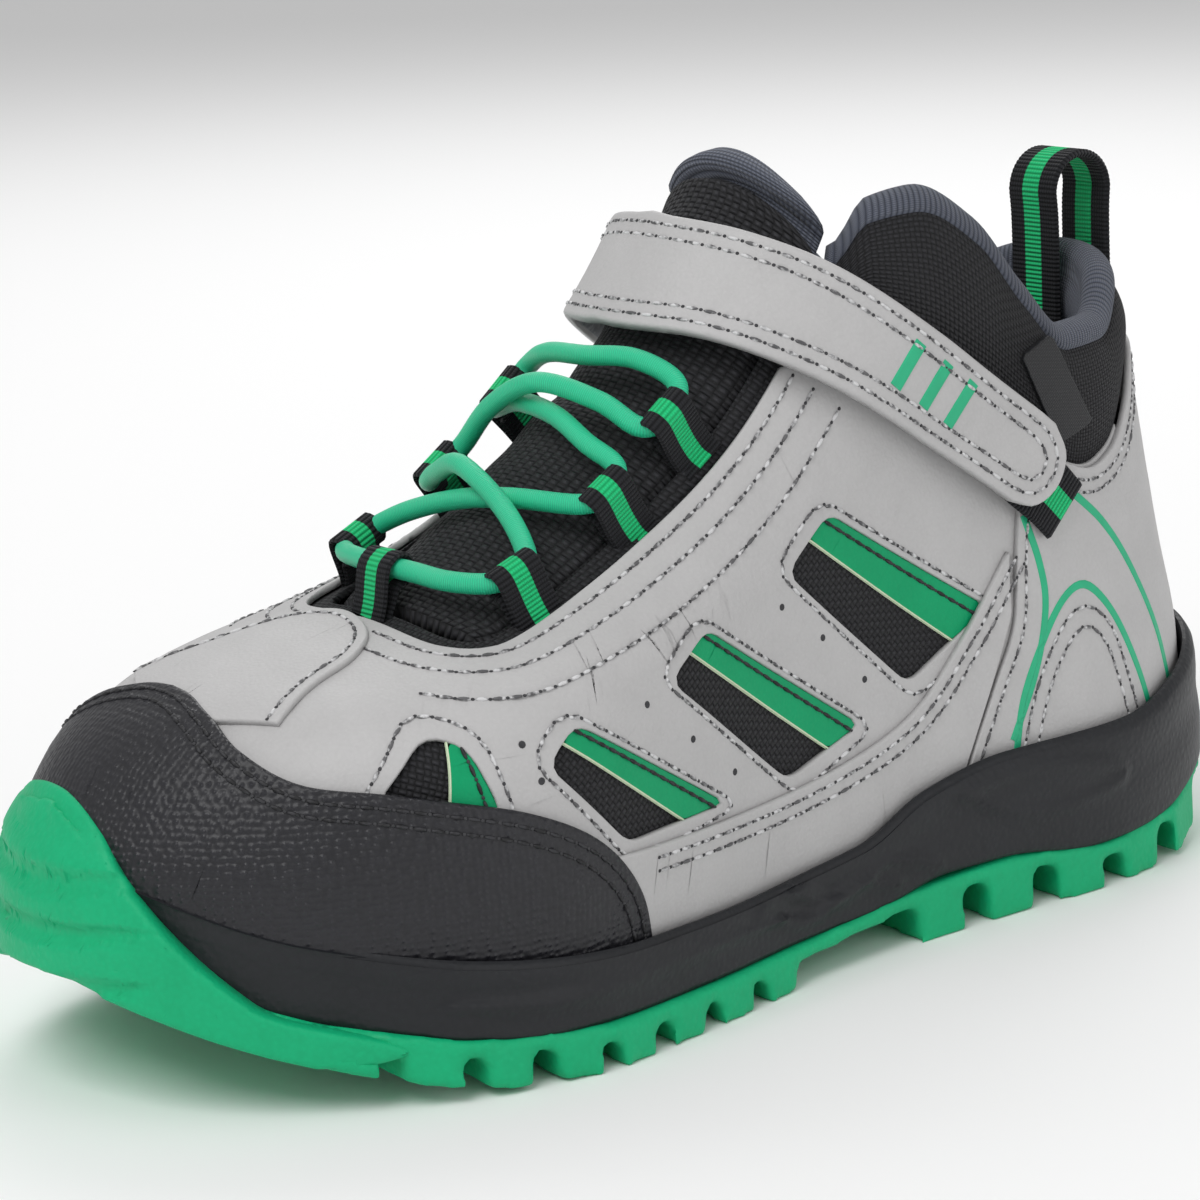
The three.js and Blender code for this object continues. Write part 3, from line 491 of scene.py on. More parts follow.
class Nodes:
    """A material's node tree."""

    def __init__(self, material: bpy.types.Material) -> None:
        """Empties the material's tree."""
        material.use_nodes = True
        self.tree = material.node_tree
        self.tree.nodes.clear()

    def add(self, kind: str, inputs: dict | None = None, **settings: object) -> bpy.types.Node:
        """Adds a node with its settings and links.

        Args:
            kind: The node's type, without ShaderNode.
            inputs: A value, or a socket to link, for each input by name or number.
            settings: The node's own properties.

        Returns:
            The node.
        """
        node = self.tree.nodes.new("ShaderNode" + kind)
        for key, value in settings.items():
            setattr(node, key, value)
        for key, value in (inputs or {}).items():
            if isinstance(value, bpy.types.NodeSocket):
                self.tree.links.new(value, node.inputs[key])
            else:
                node.inputs[key].default_value = value
        return node

    def math(self, operation: str, *values: object) -> bpy.types.NodeSocket:
        """One step of arithmetic; the result's socket."""
        return self.add("Math", dict(enumerate(values)), operation=operation).outputs[0]


@dataclass(frozen=True)
class Finish:
    """A finish: its colours, its gloss, and the texture that its making leaves.

    pitch is the texture's spacing and relief its depth, both in mm.
    """

    name: str
    light: str
    dark: str
    roughness: float
    texture: Texture
    pitch: float
    relief: float
    sheen: float = 0.0
    metallic: float = 0.0
    stripe: tuple[str, str] = ("25D487", "0C9A58")
    specular: float = 0.5

    def material(self) -> bpy.types.Material:
        """Makes the material once.

        Returns:
            The material.
        """
        made = bpy.data.materials.get(self.name)
        if made:
            return made
        made = bpy.data.materials.new(self.name)
        nodes = Nodes(made)
        place = nodes.add("TexCoord")
        height, shade = self.pattern(nodes, place)
        cloud = nodes.add("TexNoise", {"Vector": place.outputs["Object"], "Scale": 60.0, "Detail": 3.0})
        # The texture's share of the light colour, mixed with random tone from the cloud noise. Where the share
        # follows the texture's height, as in the weave, knit, ribs, winding and domes, the crowns are painted
        # lighter and the hollows darker: painted highlight and painted shade.
        shade = nodes.math("ADD", nodes.math("MULTIPLY", shade, 0.8),
                           nodes.math("MULTIPLY", cloud.outputs["Fac"], 0.2))
        colour = nodes.add("Mix", {0: shade, 6: linear(self.dark), 7: linear(self.light)},
                           data_type="RGBA").outputs[2]
        if self.texture is Texture.RIBBED:
            across = nodes.add("SeparateXYZ", {0: place.outputs["UV"]}).outputs[0]
            inside = nodes.math("LESS_THAN", nodes.math("ABSOLUTE", across), STRIPE_SHARE / 2)
            striped = nodes.add("Mix", {0: shade, 6: linear(self.stripe[1]), 7: linear(self.stripe[0])},
                                data_type="RGBA").outputs[2]
            colour = nodes.add("Mix", {0: inside, 6: colour, 7: striped}, data_type="RGBA").outputs[2]
        bump = nodes.add("Bump", {"Strength": 1.0, "Distance": self.relief * MM, "Height": height})
        rough = nodes.add("MapRange", {0: shade, 3: min(self.roughness + 0.08, 1), 4: self.roughness - 0.04})
        shader = nodes.add("BsdfPrincipled", {
            "Base Color": colour, "Roughness": rough.outputs[0], "Normal": bump.outputs[0],
            "Metallic": self.metallic, "Sheen Weight": self.sheen, "Sheen Roughness": 0.5,
            "Specular IOR Level": self.specular})
        nodes.add("OutputMaterial", {0: shader.outputs[0]})
        return made

    def pattern(self, nodes: Nodes, place: bpy.types.Node) -> tuple:
        """The texture's height and the share of its light colour. For the weave, knit, ribs, winding and domes
        that share follows the height: painted highlight on the crowns and painted shade in the hollows.

        Args:
            nodes: The tree to add to.
            place: The Texture Coordinate node.

        Returns:
            Two sockets, each from 0 to 1.
        """
        kind = self.texture
        if kind in (Texture.OXFORD, Texture.KNIT):
            flat = nodes.add("SeparateXYZ", {0: place.outputs["UV"]})
            waves = [nodes.math("SINE", nodes.math("MULTIPLY", flat.outputs[i], math.pi / self.pitch))
                     for i in (0, 1)]
            warp, weft = (nodes.math("ABSOLUTE", w) for w in waves)
            # The colour follows the height: the crowns of the loops and threads are painted lighter and the
            # hollows darker, painted highlight and shade; in the oxford every other cell of the basket is painted
            # darker still, painted shade.
            if kind is Texture.KNIT:
                height = nodes.math("MULTIPLY", warp, nodes.math("MULTIPLY_ADD", weft, 0.6, 0.4))
                return height, height
            over = nodes.math("GREATER_THAN", nodes.math("MULTIPLY", *waves), 0.0)
            first = nodes.math("MULTIPLY", warp, nodes.math("MULTIPLY_ADD", weft, 0.5, 0.5))
            second = nodes.math("MULTIPLY", weft, nodes.math("MULTIPLY_ADD", warp, 0.5, 0.5))
            height = nodes.add("Mix", {0: over, 2: first, 3: second}).outputs[0]
            return height, nodes.math("MULTIPLY", height, nodes.math("MULTIPLY_ADD", over, 0.35, 0.65))
        if kind in (Texture.RIBBED, Texture.WRAPPED):
            flat = nodes.add("SeparateXYZ", {0: place.outputs["UV"]})
            # The colour follows the ribs' height: their crowns painted lighter and the hollows darker, painted
            # highlight and shade.
            wave = nodes.math("SINE", nodes.math("MULTIPLY", flat.outputs[1], math.pi / self.pitch))
            height = nodes.math("ABSOLUTE", wave)
            fine = nodes.math("ABSOLUTE", nodes.math("SINE", nodes.math("MULTIPLY", flat.outputs[0], 60.0)))
            height = nodes.math("MULTIPLY", height, nodes.math("MULTIPLY_ADD", fine, 0.35, 0.65))
            return height, height
        scale = 1 / (self.pitch * MM)
        if kind is Texture.PLAIN:
            noise = nodes.add("TexNoise", {"Vector": place.outputs["Object"], "Scale": scale})
            return noise.outputs["Fac"], noise.outputs["Fac"]
        if kind is Texture.TWISTED:
            noise = nodes.add("TexNoise", {"Vector": place.outputs["Object"], "Scale": scale})
            # Patches along the thread take the light colour: for the grey thread a painted highlight on its twist.
            return noise.outputs["Fac"], nodes.add("MapRange", {
                0: noise.outputs["Fac"], 1: 0.42, 2: 0.58}).outputs[0]
        spread = 0.4 if kind is Texture.PEBBLE else 1.0
        cells = nodes.add("TexVoronoi", {"Vector": place.outputs["Object"], "Scale": scale,
                                         "Randomness": spread}, feature="SMOOTH_F1")
        dome = nodes.math("SUBTRACT", 1.0, cells.outputs["Distance"])
        noise = nodes.add("TexNoise", {"Vector": place.outputs["Object"], "Scale": scale / 14,
                                       "Detail": 4.0})
        # The dome's share of the colour. On the cap's domes it is large: their tops painted lighter and the gaps
        # darker, painted highlight and shade; grain and moulded finishes take a smaller share, mixed with noise.
        share = 0.85 if kind is Texture.PEBBLE else 0.35
        return dome, nodes.math("ADD", nodes.math("MULTIPLY", dome, share),
                                nodes.math("MULTIPLY", noise.outputs["Fac"], 0.95 - share))


FACE_NORMAL = "face_normal"
STRIPE_SHARE = 0.34  # the coloured stripe's share of the webbing's width
# Polyurethane coated split leather, embossed: an even warm grey with a dry, satin face.
LEATHER = Finish("coated_leather_grey", "C1C0C0", "AEADAD", 0.52, Texture.GRAIN, 0.6, 0.07, specular=0.4)
# Solution-dyed polyester oxford: coarse square threads, with a painted highlight on their crowns and painted shade
# in the gaps.
OXFORD = Finish("polyester_oxford_black", "313135", "020203", 0.74, Texture.OXFORD, 0.95, 0.42, 0.03,
                specular=0.35)
# The same cloth in a heavier, coarser weave, for the tongue, with the same painted highlight and shade.
OXFORD_HEAVY = Finish("polyester_oxford_heavy", "38383C", "020203", 0.72, Texture.OXFORD, 1.75, 0.6, 0.03,
                      specular=0.35)
# Spacer mesh: soft ribs of blue-grey loops, painted darker in the hollows between them as painted shade.
KNIT = Finish("spacer_mesh_grey", "767B89", "2B2F39", 0.92, Texture.KNIT, 1.05, 0.34, 0.15, specular=0.2)
# Injected toe cap skin: matt black with rows of small domes, their tops painted lighter and the gaps darker as
# painted highlight and shade.
CAP = Finish("toe_cap_tpu_black", "29292F", "070709", 0.42, Texture.PEBBLE, 1.05, 0.5, specular=0.45)
# Moulded EVA: near black, faintly blue, matt with a soft glow at its edges.
FOAM = Finish("moulded_eva_black", "1F2126", "0E0F12", 0.46, Texture.MOULDED, 1.0, 0.12, specular=0.4)
# Carbon-free rubber: strong green, dull, slightly mottled.
RUBBER = Finish("blown_rubber_green", "0CBB80", "049B66", 0.52, Texture.MOULDED, 0.9, 0.09, specular=0.3)
# Polyurethane film over foam: smooth green inlays.
INLAY = Finish("pu_film_green", "00A56C", "00905D", 0.45, Texture.GRAIN, 0.6, 0.04, specular=0.22)
# Ribbed polyester webbing, black with a green stripe; the ribs' crowns painted lighter and the hollows darker as
# painted highlight and shade.
WEBBING = Finish("ribbed_webbing", "26272B", "050506", 0.8, Texture.RIBBED, 0.8, 0.26, 0.05,
                 specular=0.25)
# Elastic cord in a wound polyester sleeve: glossy fine ribs, the winding's crowns painted lighter and its hollows
# darker, painted highlight and shade.
ELASTIC = Finish("wound_elastic_green", "1FDDA4", "10A87C", 0.34, Texture.WRAPPED, 0.36, 0.05, 0.05,
                 specular=0.6)
# Grey nylon thread: the dark colour is the thread's own, and the patches of the near-white light colour along it
# are a painted highlight on its twist.
THREAD_GREY = Finish("nylon_thread_grey", "DADADB", "343336", 0.5, Texture.TWISTED, 1.5, 0.05)
THREAD_DARK = Finish("nylon_thread_black", "2E2E32", "111113", 0.6, Texture.TWISTED, 1.0, 0.05)
# Painted shadow: the shade inside needle holes and punched holes, as a dark colour.
NEEDLE_HOLE_SHADOW = Finish("needle_hole_shadow", "4A4A4D", "29292B", 0.9, Texture.PLAIN, 1.0, 0.02)
# Woven label: its weave painted lighter on the crowns and darker in the gaps, painted highlight and shade as in
# the oxford.
LABEL_SATIN = Finish("woven_label_black", "1C1D22", "0A0B0D", 0.5, Texture.OXFORD, 0.45, 0.08, 0.02)
PILE = Finish("hook_and_loop_grey", "A7A9AE", "6F7177", 0.95, Texture.GRAIN, 0.9, 0.35, 0.4)
RAW_EDGE = Finish("pu_film_raw_edge", "D8E6C8", "B9CBA8", 0.7, Texture.PLAIN, 1.0, 0.02)
PRINT = Finish("screen_print_green", "1FB986", "12A374", 0.45, Texture.PLAIN, 3.0, 0.01)
BOARD = Finish("fibre_board", "D6CFBD", "B9B19D", 0.9, Texture.PLAIN, 0.8, 0.05)
STIFFENER = Finish("thermoplastic_sheet", "E4E2DC", "D0CDC5", 0.55, Texture.PLAIN, 1.0, 0.02)
STEEL = Finish("spring_steel", "A5A8AC", "8B8E92", 0.35, Texture.PLAIN, 0.5, 0.01, metallic=1.0)
SLOT_FINISH = {
    "green_rubber": RUBBER, "black_foam": FOAM, "steel_shank": STEEL, "fibre_board": BOARD,
    "grey_mesh": KNIT, "black_oxford": OXFORD, "black_mesh": OXFORD, "stiffener": STIFFENER,
    "green_trim": INLAY, "black_cap": CAP, "elastic_cord": ELASTIC, "webbing": WEBBING,
    "black_label": LABEL_SATIN, "hook_and_loop": PILE, "grey_leather": LEATHER,
}


# ---------------------------------------------------------------- pieces
@dataclass
class Piece:
    """How a finished mesh joins the boot."""

    name: str
    finish: Finish
    slot: str
    body: str = "boot"
    stands_for: tuple[str, ...] = ()
    second: Finish | None = None
    fold: tuple | None = None

    def make(self, bm: bmesh.types.BMesh, sharp: float = 50.0) -> bpy.types.Object:
        """Turns a mesh in pattern millimetres into a piece in the row frame.

        Args:
            bm: The mesh, which is used up.
            sharp: Edges over this angle, in degrees, stay crisp.

        Returns:
            The piece.
        """
        shift = Matrix.Translation(Vector(PATTERN_ORIGIN * MM)) @ Matrix.Scale(MM, 4)
        bmesh.ops.transform(bm, matrix=shift, verts=bm.verts)
        mesh = bpy.data.meshes.new(self.name)
        bm.to_mesh(mesh)
        bm.free()
        return self.join(mesh, sharp)

    def join(self, mesh: bpy.types.Mesh, sharp: float = 50.0) -> bpy.types.Object:
        """Makes the piece from a mesh that is already in place, in metres.

        Args:
            mesh: The mesh.
            sharp: Edges over this angle, in degrees, stay crisp.

        Returns:
            The piece.
        """
        mesh.polygons.foreach_set("use_smooth", [True] * len(mesh.polygons))
        mesh.set_sharp_from_angle(angle=math.radians(sharp))
        kept = mesh.attributes.get(FACE_NORMAL)
        if kept:
            normals = np.zeros(len(mesh.vertices) * 3, np.float32)
            kept.data.foreach_get("vector", normals)
            mesh.attributes.remove(kept)
            mesh.normals_split_custom_set_from_vertices(normals.reshape(-1, 3).tolist())
        mesh.materials.clear()
        mesh.materials.append(self.finish.material())
        if self.second:
            mesh.materials.append(self.second.material())
        piece = bpy.data.objects.new(self.name, mesh)
        bpy.context.scene.collection.objects.link(piece)
        if self.stands_for:
            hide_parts(*self.stands_for)
        if self.fold:
            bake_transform(piece)
        else:
            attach(piece, self.body)
        LOG.info("%s: %d faces", self.name, len(mesh.polygons))
        return piece


def fill_loop(bm: bmesh.types.BMesh, loops: list[list]) -> list:
    """Fills the flat area between closed loops of vertices, which get their edges here.

    Args:
        bm: The mesh.
        loops: Vertices round each loop.

    Returns:
        The new faces.
    """
    edges = []
    for loop in loops:
        for a, b in zip(loop, loop[1:] + loop[:1]):
            edges.append(bm.edges.get((a, b)) or bm.edges.new((a, b)))
    made = bmesh.ops.triangle_fill(bm, use_beauty=True, use_dissolve=False, edges=edges)
    return [g for g in made["geom"] if isinstance(g, bmesh.types.BMFace)]


def inset_outline(outline: Points, distance: float) -> Points:
    """Moves a flat closed outline to its left.

    Args:
        outline: Points round the outline, anticlockwise round material.
        distance: How far, in mm.

    Returns:
        The moved outline.
    """
    ahead, behind = np.roll(outline, -1, 0) - outline, outline - np.roll(outline, 1, 0)
    left = sum(np.stack([-d[:, 1], d[:, 0]], 1) / np.maximum(np.linalg.norm(d, axis=1), 1e-9)[:, None]
               for d in (ahead, behind))
    size = np.linalg.norm(left, axis=1)
    left = left / np.maximum(size, 0.7)[:, None] * np.minimum(2 / np.maximum(size, 0.7), 1.6)[:, None]
    return outline + left * distance


def turn_left(outline: Points, left: bool) -> Points:
    """The outline, run anticlockwise if left, else clockwise."""
    x, y = outline.T
    area = (x * np.roll(y, -1) - y * np.roll(x, -1)).sum()
    return outline if (area > 0) == left else outline[::-1]


def tidy_outline(path: Points, chart: Chart, left: bool) -> Points:
    """Lays a closed path on the form out flat and drops points that crowd.

    Args:
        path: Points round the closed path.
        chart: How it is laid out.
        left: True to run anticlockwise.

    Returns:
        The flat outline.
    """
    flat = chart.to_flat(path)
    keep = [flat[0]]
    for p in flat[1:]:
        if np.linalg.norm(p - keep[-1]) > 0.35:
            keep.append(p)
    if np.linalg.norm(keep[-1] - keep[0]) < 0.35:
        keep.pop()
    return turn_left(np.array(keep), left)


@dataclass
class Panel:
    """A cut sheet with rolled edges, lasted over the form.

    low and high are its faces' offsets from the form, roll the radius of its top edge, pitch the
    size of its faces and crown how much its middle swells, all in mm.
    """

    chart: Chart
    low: float
    high: float
    roll: float = 0.35
    pitch: float = 4.0
    crown: float = 0.0
    crown_width: float = 4.0

    def cut(self, path: Points, holes: Sequence[Points] = (),
            relief: Callable[[Points], Points] | None = None) -> bmesh.types.BMesh:
        """Cuts the panel.

        Args:
            path: The closed outline on the form.
            holes: Closed outlines of windows in it.
            relief: Extra height for points on the form.

        Returns:
            The mesh, in pattern millimetres.
        """
        bm = bmesh.new()
        outlines = [tidy_outline(path, self.chart, True)]
        outlines += [tidy_outline(hole, self.chart, False) for hole in holes]
        thick = self.high - self.low
        steps = ((self.roll, 0.0), (0.3 * self.roll, 0.3 * self.roll), (0.0, self.roll))
        rims, feet = [], []
        for outline in outlines:
            foot = [bm.verts.new((u, v, 0.0)) for u, v in outline]
            feet.append(foot)
            ring = foot
            for drop, inset in steps:
                flat = inset_outline(outline, inset)
                edges = [bm.edges.get((a, b)) or bm.edges.new((a, b))
                         for a, b in zip(ring, ring[1:] + ring[:1])]
                made = set(bmesh.ops.extrude_edge_only(bm, edges=edges)["geom"])
                ring = [next(e.other_vert(v) for e in v.link_edges if e.other_vert(v) in made)
                        for v in ring]
                for vert, (u, v) in zip(ring, flat):
                    vert.co = (u, v, thick - drop)
            rims.append(ring)
        fill_loop(bm, rims)
        fill_loop(bm, feet)
        self._slice(bm)
        co = np.array([v.co for v in bm.verts])
        on_form = self.chart.to_form(co[:, :2])
        rise = co[:, 2].copy()
        if self.crown:
            rise += self.crown * (co[:, 2] > thick - self.roll * 0.9) * self._swell(co, outlines)
        if relief:
            rise += relief(on_form) * (co[:, 2] > thick * 0.5)
        placed = on_form + FORM.normal(on_form) * (self.low + rise)[:, None]
        layer = bm.loops.layers.uv.new("pattern")
        for face in bm.faces:
            for loop in face.loops:
                loop[layer].uv = loop.vert.co[:2]
        for vert, p in zip(bm.verts, placed):
            vert.co = p
        face = bm.verts.layers.float_vector.new(FACE_NORMAL)
        plain = (co[:, 2] > thick - 1e-4) & (relief is None)
        for vert, n, level in zip(bm.verts, FORM.normal(on_form), plain):
            vert[face] = n if level else (0, 0, 0)
        bmesh.ops.remove_doubles(bm, verts=bm.verts, dist=1e-4)
        bmesh.ops.recalc_face_normals(bm, faces=bm.faces)
        return bm

    def _slice(self, bm: bmesh.types.BMesh) -> None:
        """Cuts the flat panel into a grid, so that it can bend.

        Args:
            bm: The flat mesh.
        """
        co = np.array([v.co for v in bm.verts])
        for axis in (0, 1):
            low, high = co[:, axis].min(), co[:, axis].max()
            normal = Vector((1, 0, 0) if axis == 0 else (0, 1, 0))
            for k in range(int(low / self.pitch) - 1, int(high / self.pitch) + 2):
                if low < k * self.pitch < high:
                    bmesh.ops.bisect_plane(bm, geom=bm.verts[:] + bm.edges[:] + bm.faces[:], dist=0.02,
                                           plane_co=normal * (k * self.pitch), plane_no=normal)
        bmesh.ops.triangulate(bm, faces=bm.faces)
        flat = [f for f in bm.faces if max(v.co.z for v in f.verts) - min(v.co.z for v in f.verts) < 1e-5]
        level = set(flat)
        inner = [e for e in {e for f in flat for e in f.edges} if all(f in level for f in e.link_faces)]
        bmesh.ops.beautify_fill(bm, faces=flat, edges=inner, method="ANGLE")

    def _swell(self, co: Points, outlines: list[Points]) -> Points:
        """How much of the crown each flat point gets: none at an edge, all of it well inside.

        Args:
            co: Flat points.
            outlines: The panel's outlines.

        Returns:
            Shares from 0 to 1.
        """
        edge = np.concatenate(outlines)
        gap = np.array([np.min(np.hypot(*(edge - p).T)) for p in co[:, :2]])
        t = np.clip(gap / self.crown_width, 0, 1)
        return np.sin(t * np.pi / 2)


def lofted(along: int, around: int, place: Callable[[Points, Points], Points],
           pattern: Callable[[Points, Points], Points]) -> bmesh.types.BMesh:
    """Bends a grid into a tube or a bar and closes its ends.

    Args:
        along: Steps along it.
        around: Steps round it.
        place: Takes shares along and round to points.
        pattern: Takes the same shares to places on the texture, in mm.

    Returns:
        The mesh, in pattern millimetres.
    """
    bm = bmesh.new()
    bmesh.ops.create_grid(bm, x_segments=along, y_segments=around, size=1.0)
    share = (np.array([v.co[:2] for v in bm.verts]) + 1) / 2
    spots = pattern(share[:, 0], share[:, 1])
    layer = bm.loops.layers.uv.verify()
    bm.verts.index_update()
    for face in bm.faces:
        for loop in face.loops:
            loop[layer].uv = spots[loop.vert.index]
    closed = np.where(share[:, 1] > 1 - 1e-6, 0.0, share[:, 1])  # the last place round is the first
    for vert, p in zip(bm.verts, place(share[:, 0], closed)):
        vert.co = p
    bmesh.ops.remove_doubles(bm, verts=bm.verts, dist=0.004)
    rim = [e for e in bm.edges if e.is_boundary]
    if rim:
        bmesh.ops.holes_fill(bm, edges=rim, sides=0)
    bmesh.ops.recalc_face_normals(bm, faces=bm.faces)
    return bm


def ribbon(path: Points, across: Points, width: float, thick: float, ribs: float = 0.0,
           pitch: float = 1.05) -> bmesh.types.BMesh:
    """A webbing tape along a path.

    Args:
        path: Points along its middle.
        across: Unit vectors across it at each point.
        width: The tape's width.
        thick: Its thickness.
        ribs: Height of the ribs woven across it.
        pitch: Spacing of the ribs.

    Returns:
        The mesh, in pattern millimetres.
    """
    run = distance_run(path)
    face = unit(np.cross(tangents(path), across))
    corner = thick * 0.45
    half = width / 2
    steps = np.linspace(-half + corner, half - corner, 7)
    section = [(x, thick / 2) for x in steps] + [(half, 0.0)]
    section += [(x, -thick / 2) for x in steps[::-1]] + [(-half, 0.0), (steps[0], thick / 2)]
    section = np.array(section)

    def at(table: Points, s: Points) -> Points:
        """A table's rows at shares of the tape's length."""
        return looked_up(table, run, s * run[-1])

    def place(s: Points, t: Points) -> Points:
        """Points on the tape, swollen where a rib crosses it."""
        i = np.rint(t * (len(section) - 1)).astype(int)
        swell = 1 + ribs / thick * 2 * np.abs(np.sin(np.pi * s * run[-1] / pitch))
        return at(path, s) + at(across, s) * section[i, :1] + at(face, s) * (section[i, 1] * swell)[:, None]

    def pattern(s: Points, t: Points) -> Points:
        """The weave: a share of the width across, millimetres along."""
        i = np.rint(t * (len(section) - 1)).astype(int)
        return np.stack([section[i, 0] / width, s * run[-1]], 1)

    steps_along = max(int(run[-1] / (pitch / 4 if ribs else 1.2)), 4)
    return lofted(steps_along, len(section) - 1, place, pattern)


def strip_on_form(path: Points, width: float, low: float, high: float) -> bmesh.types.BMesh:
    """A thin tape that lies on the form.

    Args:
        path: Points along its middle, on the form.
        width: Its width.
        low: Offset of its underside.
        high: Offset of its top.

    Returns:
        The mesh, in pattern millimetres.
    """
    normal = FORM.normal(path)
    across = np.cross(normal, tangents(path))
    return ribbon(path + normal * (low + high) / 2, unit(across), width, high - low)


# The needle's mark is a dark flat spot in the painted shadow finish, standing for the shade in the hole.
NEEDLE_SHADOW_SIZE = (0.34, 0.3, 0.12)  # half sizes of the mark where the needle went through, mm


@dataclass(frozen=True)
class Seam:
    """Lockstitch sewn along a path: how long a stitch is, and how thick its thread, in mm."""

    length: float = 2.35
    pitch: float = 2.75
    radius: float = 0.36

    def sew(self, rows: Sequence[tuple[Points, float]], piece: Piece) -> bpy.types.Object:
        """Sews rows of stitches.

        Args:
            rows: Each row's path on the form, and the offset of the face that it is sewn on.
            piece: What the thread becomes; its second finish is the painted shadow in the needle holes.

        Returns:
            The piece.
        """
        bead = bmesh.new()
        bmesh.ops.create_uvsphere(bead, u_segments=6, v_segments=4, radius=1.0)
        bmesh.ops.rotate(bead, verts=bead.verts, matrix=Matrix.Rotation(math.pi / 2, 3, "Y"))
        bead.verts.index_update()
        co = np.array([v.co for v in bead.verts])
        faces = [[v.index for v in f.verts] for f in bead.faces]
        bead.free()
        points, index, which = [], [], []
        for path, offset in rows:
            line = resample(path, self.pitch)
            if len(line) < 3:
                continue
            half = (line[1:] + line[:-1]) / 2
            # Each stitch's bead of thread, then at each needle hole a dark flat spot of painted shadow.
            for spots, size, slot in (
                (half, (self.length / 2, self.radius, self.radius), 0),
                (line, NEEDLE_SHADOW_SIZE, 1),
            ):
                normal = FORM.normal(spots)
                forward = tangents(spots)
                sideways = np.cross(normal, forward)
                for p, f, s, n in zip(spots + normal * offset, forward, sideways, normal):
                    base = len(points) * len(co)
                    points.append(p + co[:, :1] * f * size[0] + co[:, 1:2] * s * size[1]
                                  + co[:, 2:] * n * size[2])
                    index += [[base + i for i in face] for face in faces]
                    which += [slot] * len(faces)
        mesh = bpy.data.meshes.new(piece.name)
        mesh.from_pydata(((np.concatenate(points) + PATTERN_ORIGIN) * MM).tolist(), [], index)
        made = piece.join(mesh, 180.0)
        mesh.polygons.foreach_set("material_index", which)
        return made


SEAM = Seam()


def remoulded(node: str, voxel: float, smooth: int) -> bmesh.types.BMesh:
    """A CAD node's shape with its edges softened, as a mould leaves them.

    Args:
        node: The node.
        voxel: Size of the faces, in mm.
        smooth: Rounds of smoothing.

    Returns:
        The mesh, in pattern millimetres.
    """
    source = bpy.data.meshes.new_from_object(frame["nodes"][node])
    bm = bmesh.new()
    bm.from_mesh(source)
    bmesh.ops.remove_doubles(bm, verts=bm.verts, dist=1e-7)
    bm.to_mesh(source)
    bm.free()
    blank = bpy.data.objects.new(node + "_blank", source)
    bpy.context.scene.collection.objects.link(blank)
    mould = blank.modifiers.new("mould", "REMESH")
    mould.mode = "VOXEL"
    mould.voxel_size = voxel * MM
    relax = blank.modifiers.new("relax", "SMOOTH")
    relax.factor = 0.5
    relax.iterations = smooth
    shaped = bpy.data.meshes.new_from_object(blank.evaluated_get(bpy.context.evaluated_depsgraph_get()))
    bpy.data.objects.remove(blank)
    bm = bmesh.new()
    bm.from_mesh(shaped)
    back = Matrix.Scale(1 / MM, 4) @ Matrix.Translation(Vector(-PATTERN_ORIGIN * MM))
    bmesh.ops.transform(bm, matrix=back, verts=bm.verts)
    return bm


def sculpt(bm: bmesh.types.BMesh, move: Callable[[Points, Points], Points]) -> None:
    """Presses vertices in or out along their normals.

    Args:
        bm: The mesh.
        move: Takes points and normals to distances.
    """
    bm.normal_update()
    co, normal = np.array([v.co for v in bm.verts]), np.array([v.normal for v in bm.verts])
    for vert, p in zip(bm.verts, co + normal * move(co, normal)[:, None]):
        vert.co = p


def gap_to(points: Points, path: Points) -> Points:
    """Shortest distance from each point to a path's points, in the columns given."""
    dense = resample(path, 0.6)
    return np.min(np.linalg.norm(points[:, None, :] - dense[None], axis=2), axis=1)


# ---------------------------------------------------------------- sole
TREAD_TOP = Profile((-124, 31), (-114, 23), (-99, 15.5), (-84, 11.5), (-62, 8), (-31, 7), (13, 7.5),
                    (33, 10.5), (46, 10.5), (68, 8), (85, 9), (99, 13), (120, 19))
GROUND_LINE = Profile((-124, 25), (-114, 17), (-103, 10.5), (-90, 5.5), (-74, 1.5), (-62, 0), (88, 0),
                      (97, 1.5), (106, 5), (120, 13))
# The bumper's outline from the front, across and up.
BUMPER_OUTLINE = ((-44, 8), (-42, 24), (-33, 38.3), (-23, 45.4), (-10, 47.4), (1, 43.9), (9, 37.3),
                  (16.3, 28.3), (24.3, 18.3), (32, 8))
BUMPER_LEAN = Profile((0, 0), (24, -0.4), (36, -1.8), (44, -4.2), (52, -9))
BUMPER_SLOTS = (19.5, 28.0, 35.5)  # heights
# The midsole wall's section: share of its height, mm above that, and offset from the form.
WALL_SECTION = (
    (0, 0, -4.0), (0, 0, 0.0), (0, 0, 3.6), (0, 0.1, 4.9), (0, 0.9, 5.3), (0.12, 0.5, 5.1),
    (0.3, 0, 4.9), (0.42, 0, 4.6), (0.52, 0, 4.3), (0.62, 0, 4.25), (0.74, 0, 4.4), (0.84, 0, 4.4),
    (0.92, 0, 4.2), (1, -1.1, 3.9), (1, -0.4, 3.5), (1, 0, 2.9), (1, -0.2, 2.3), (1, -1.0, 2.0),
    (0.7, 0, 2.0), (0.45, 0, 1.6), (0.3, 0, -1.0), (0.2, 0, -4.0), (0, 0, -4.0),
)


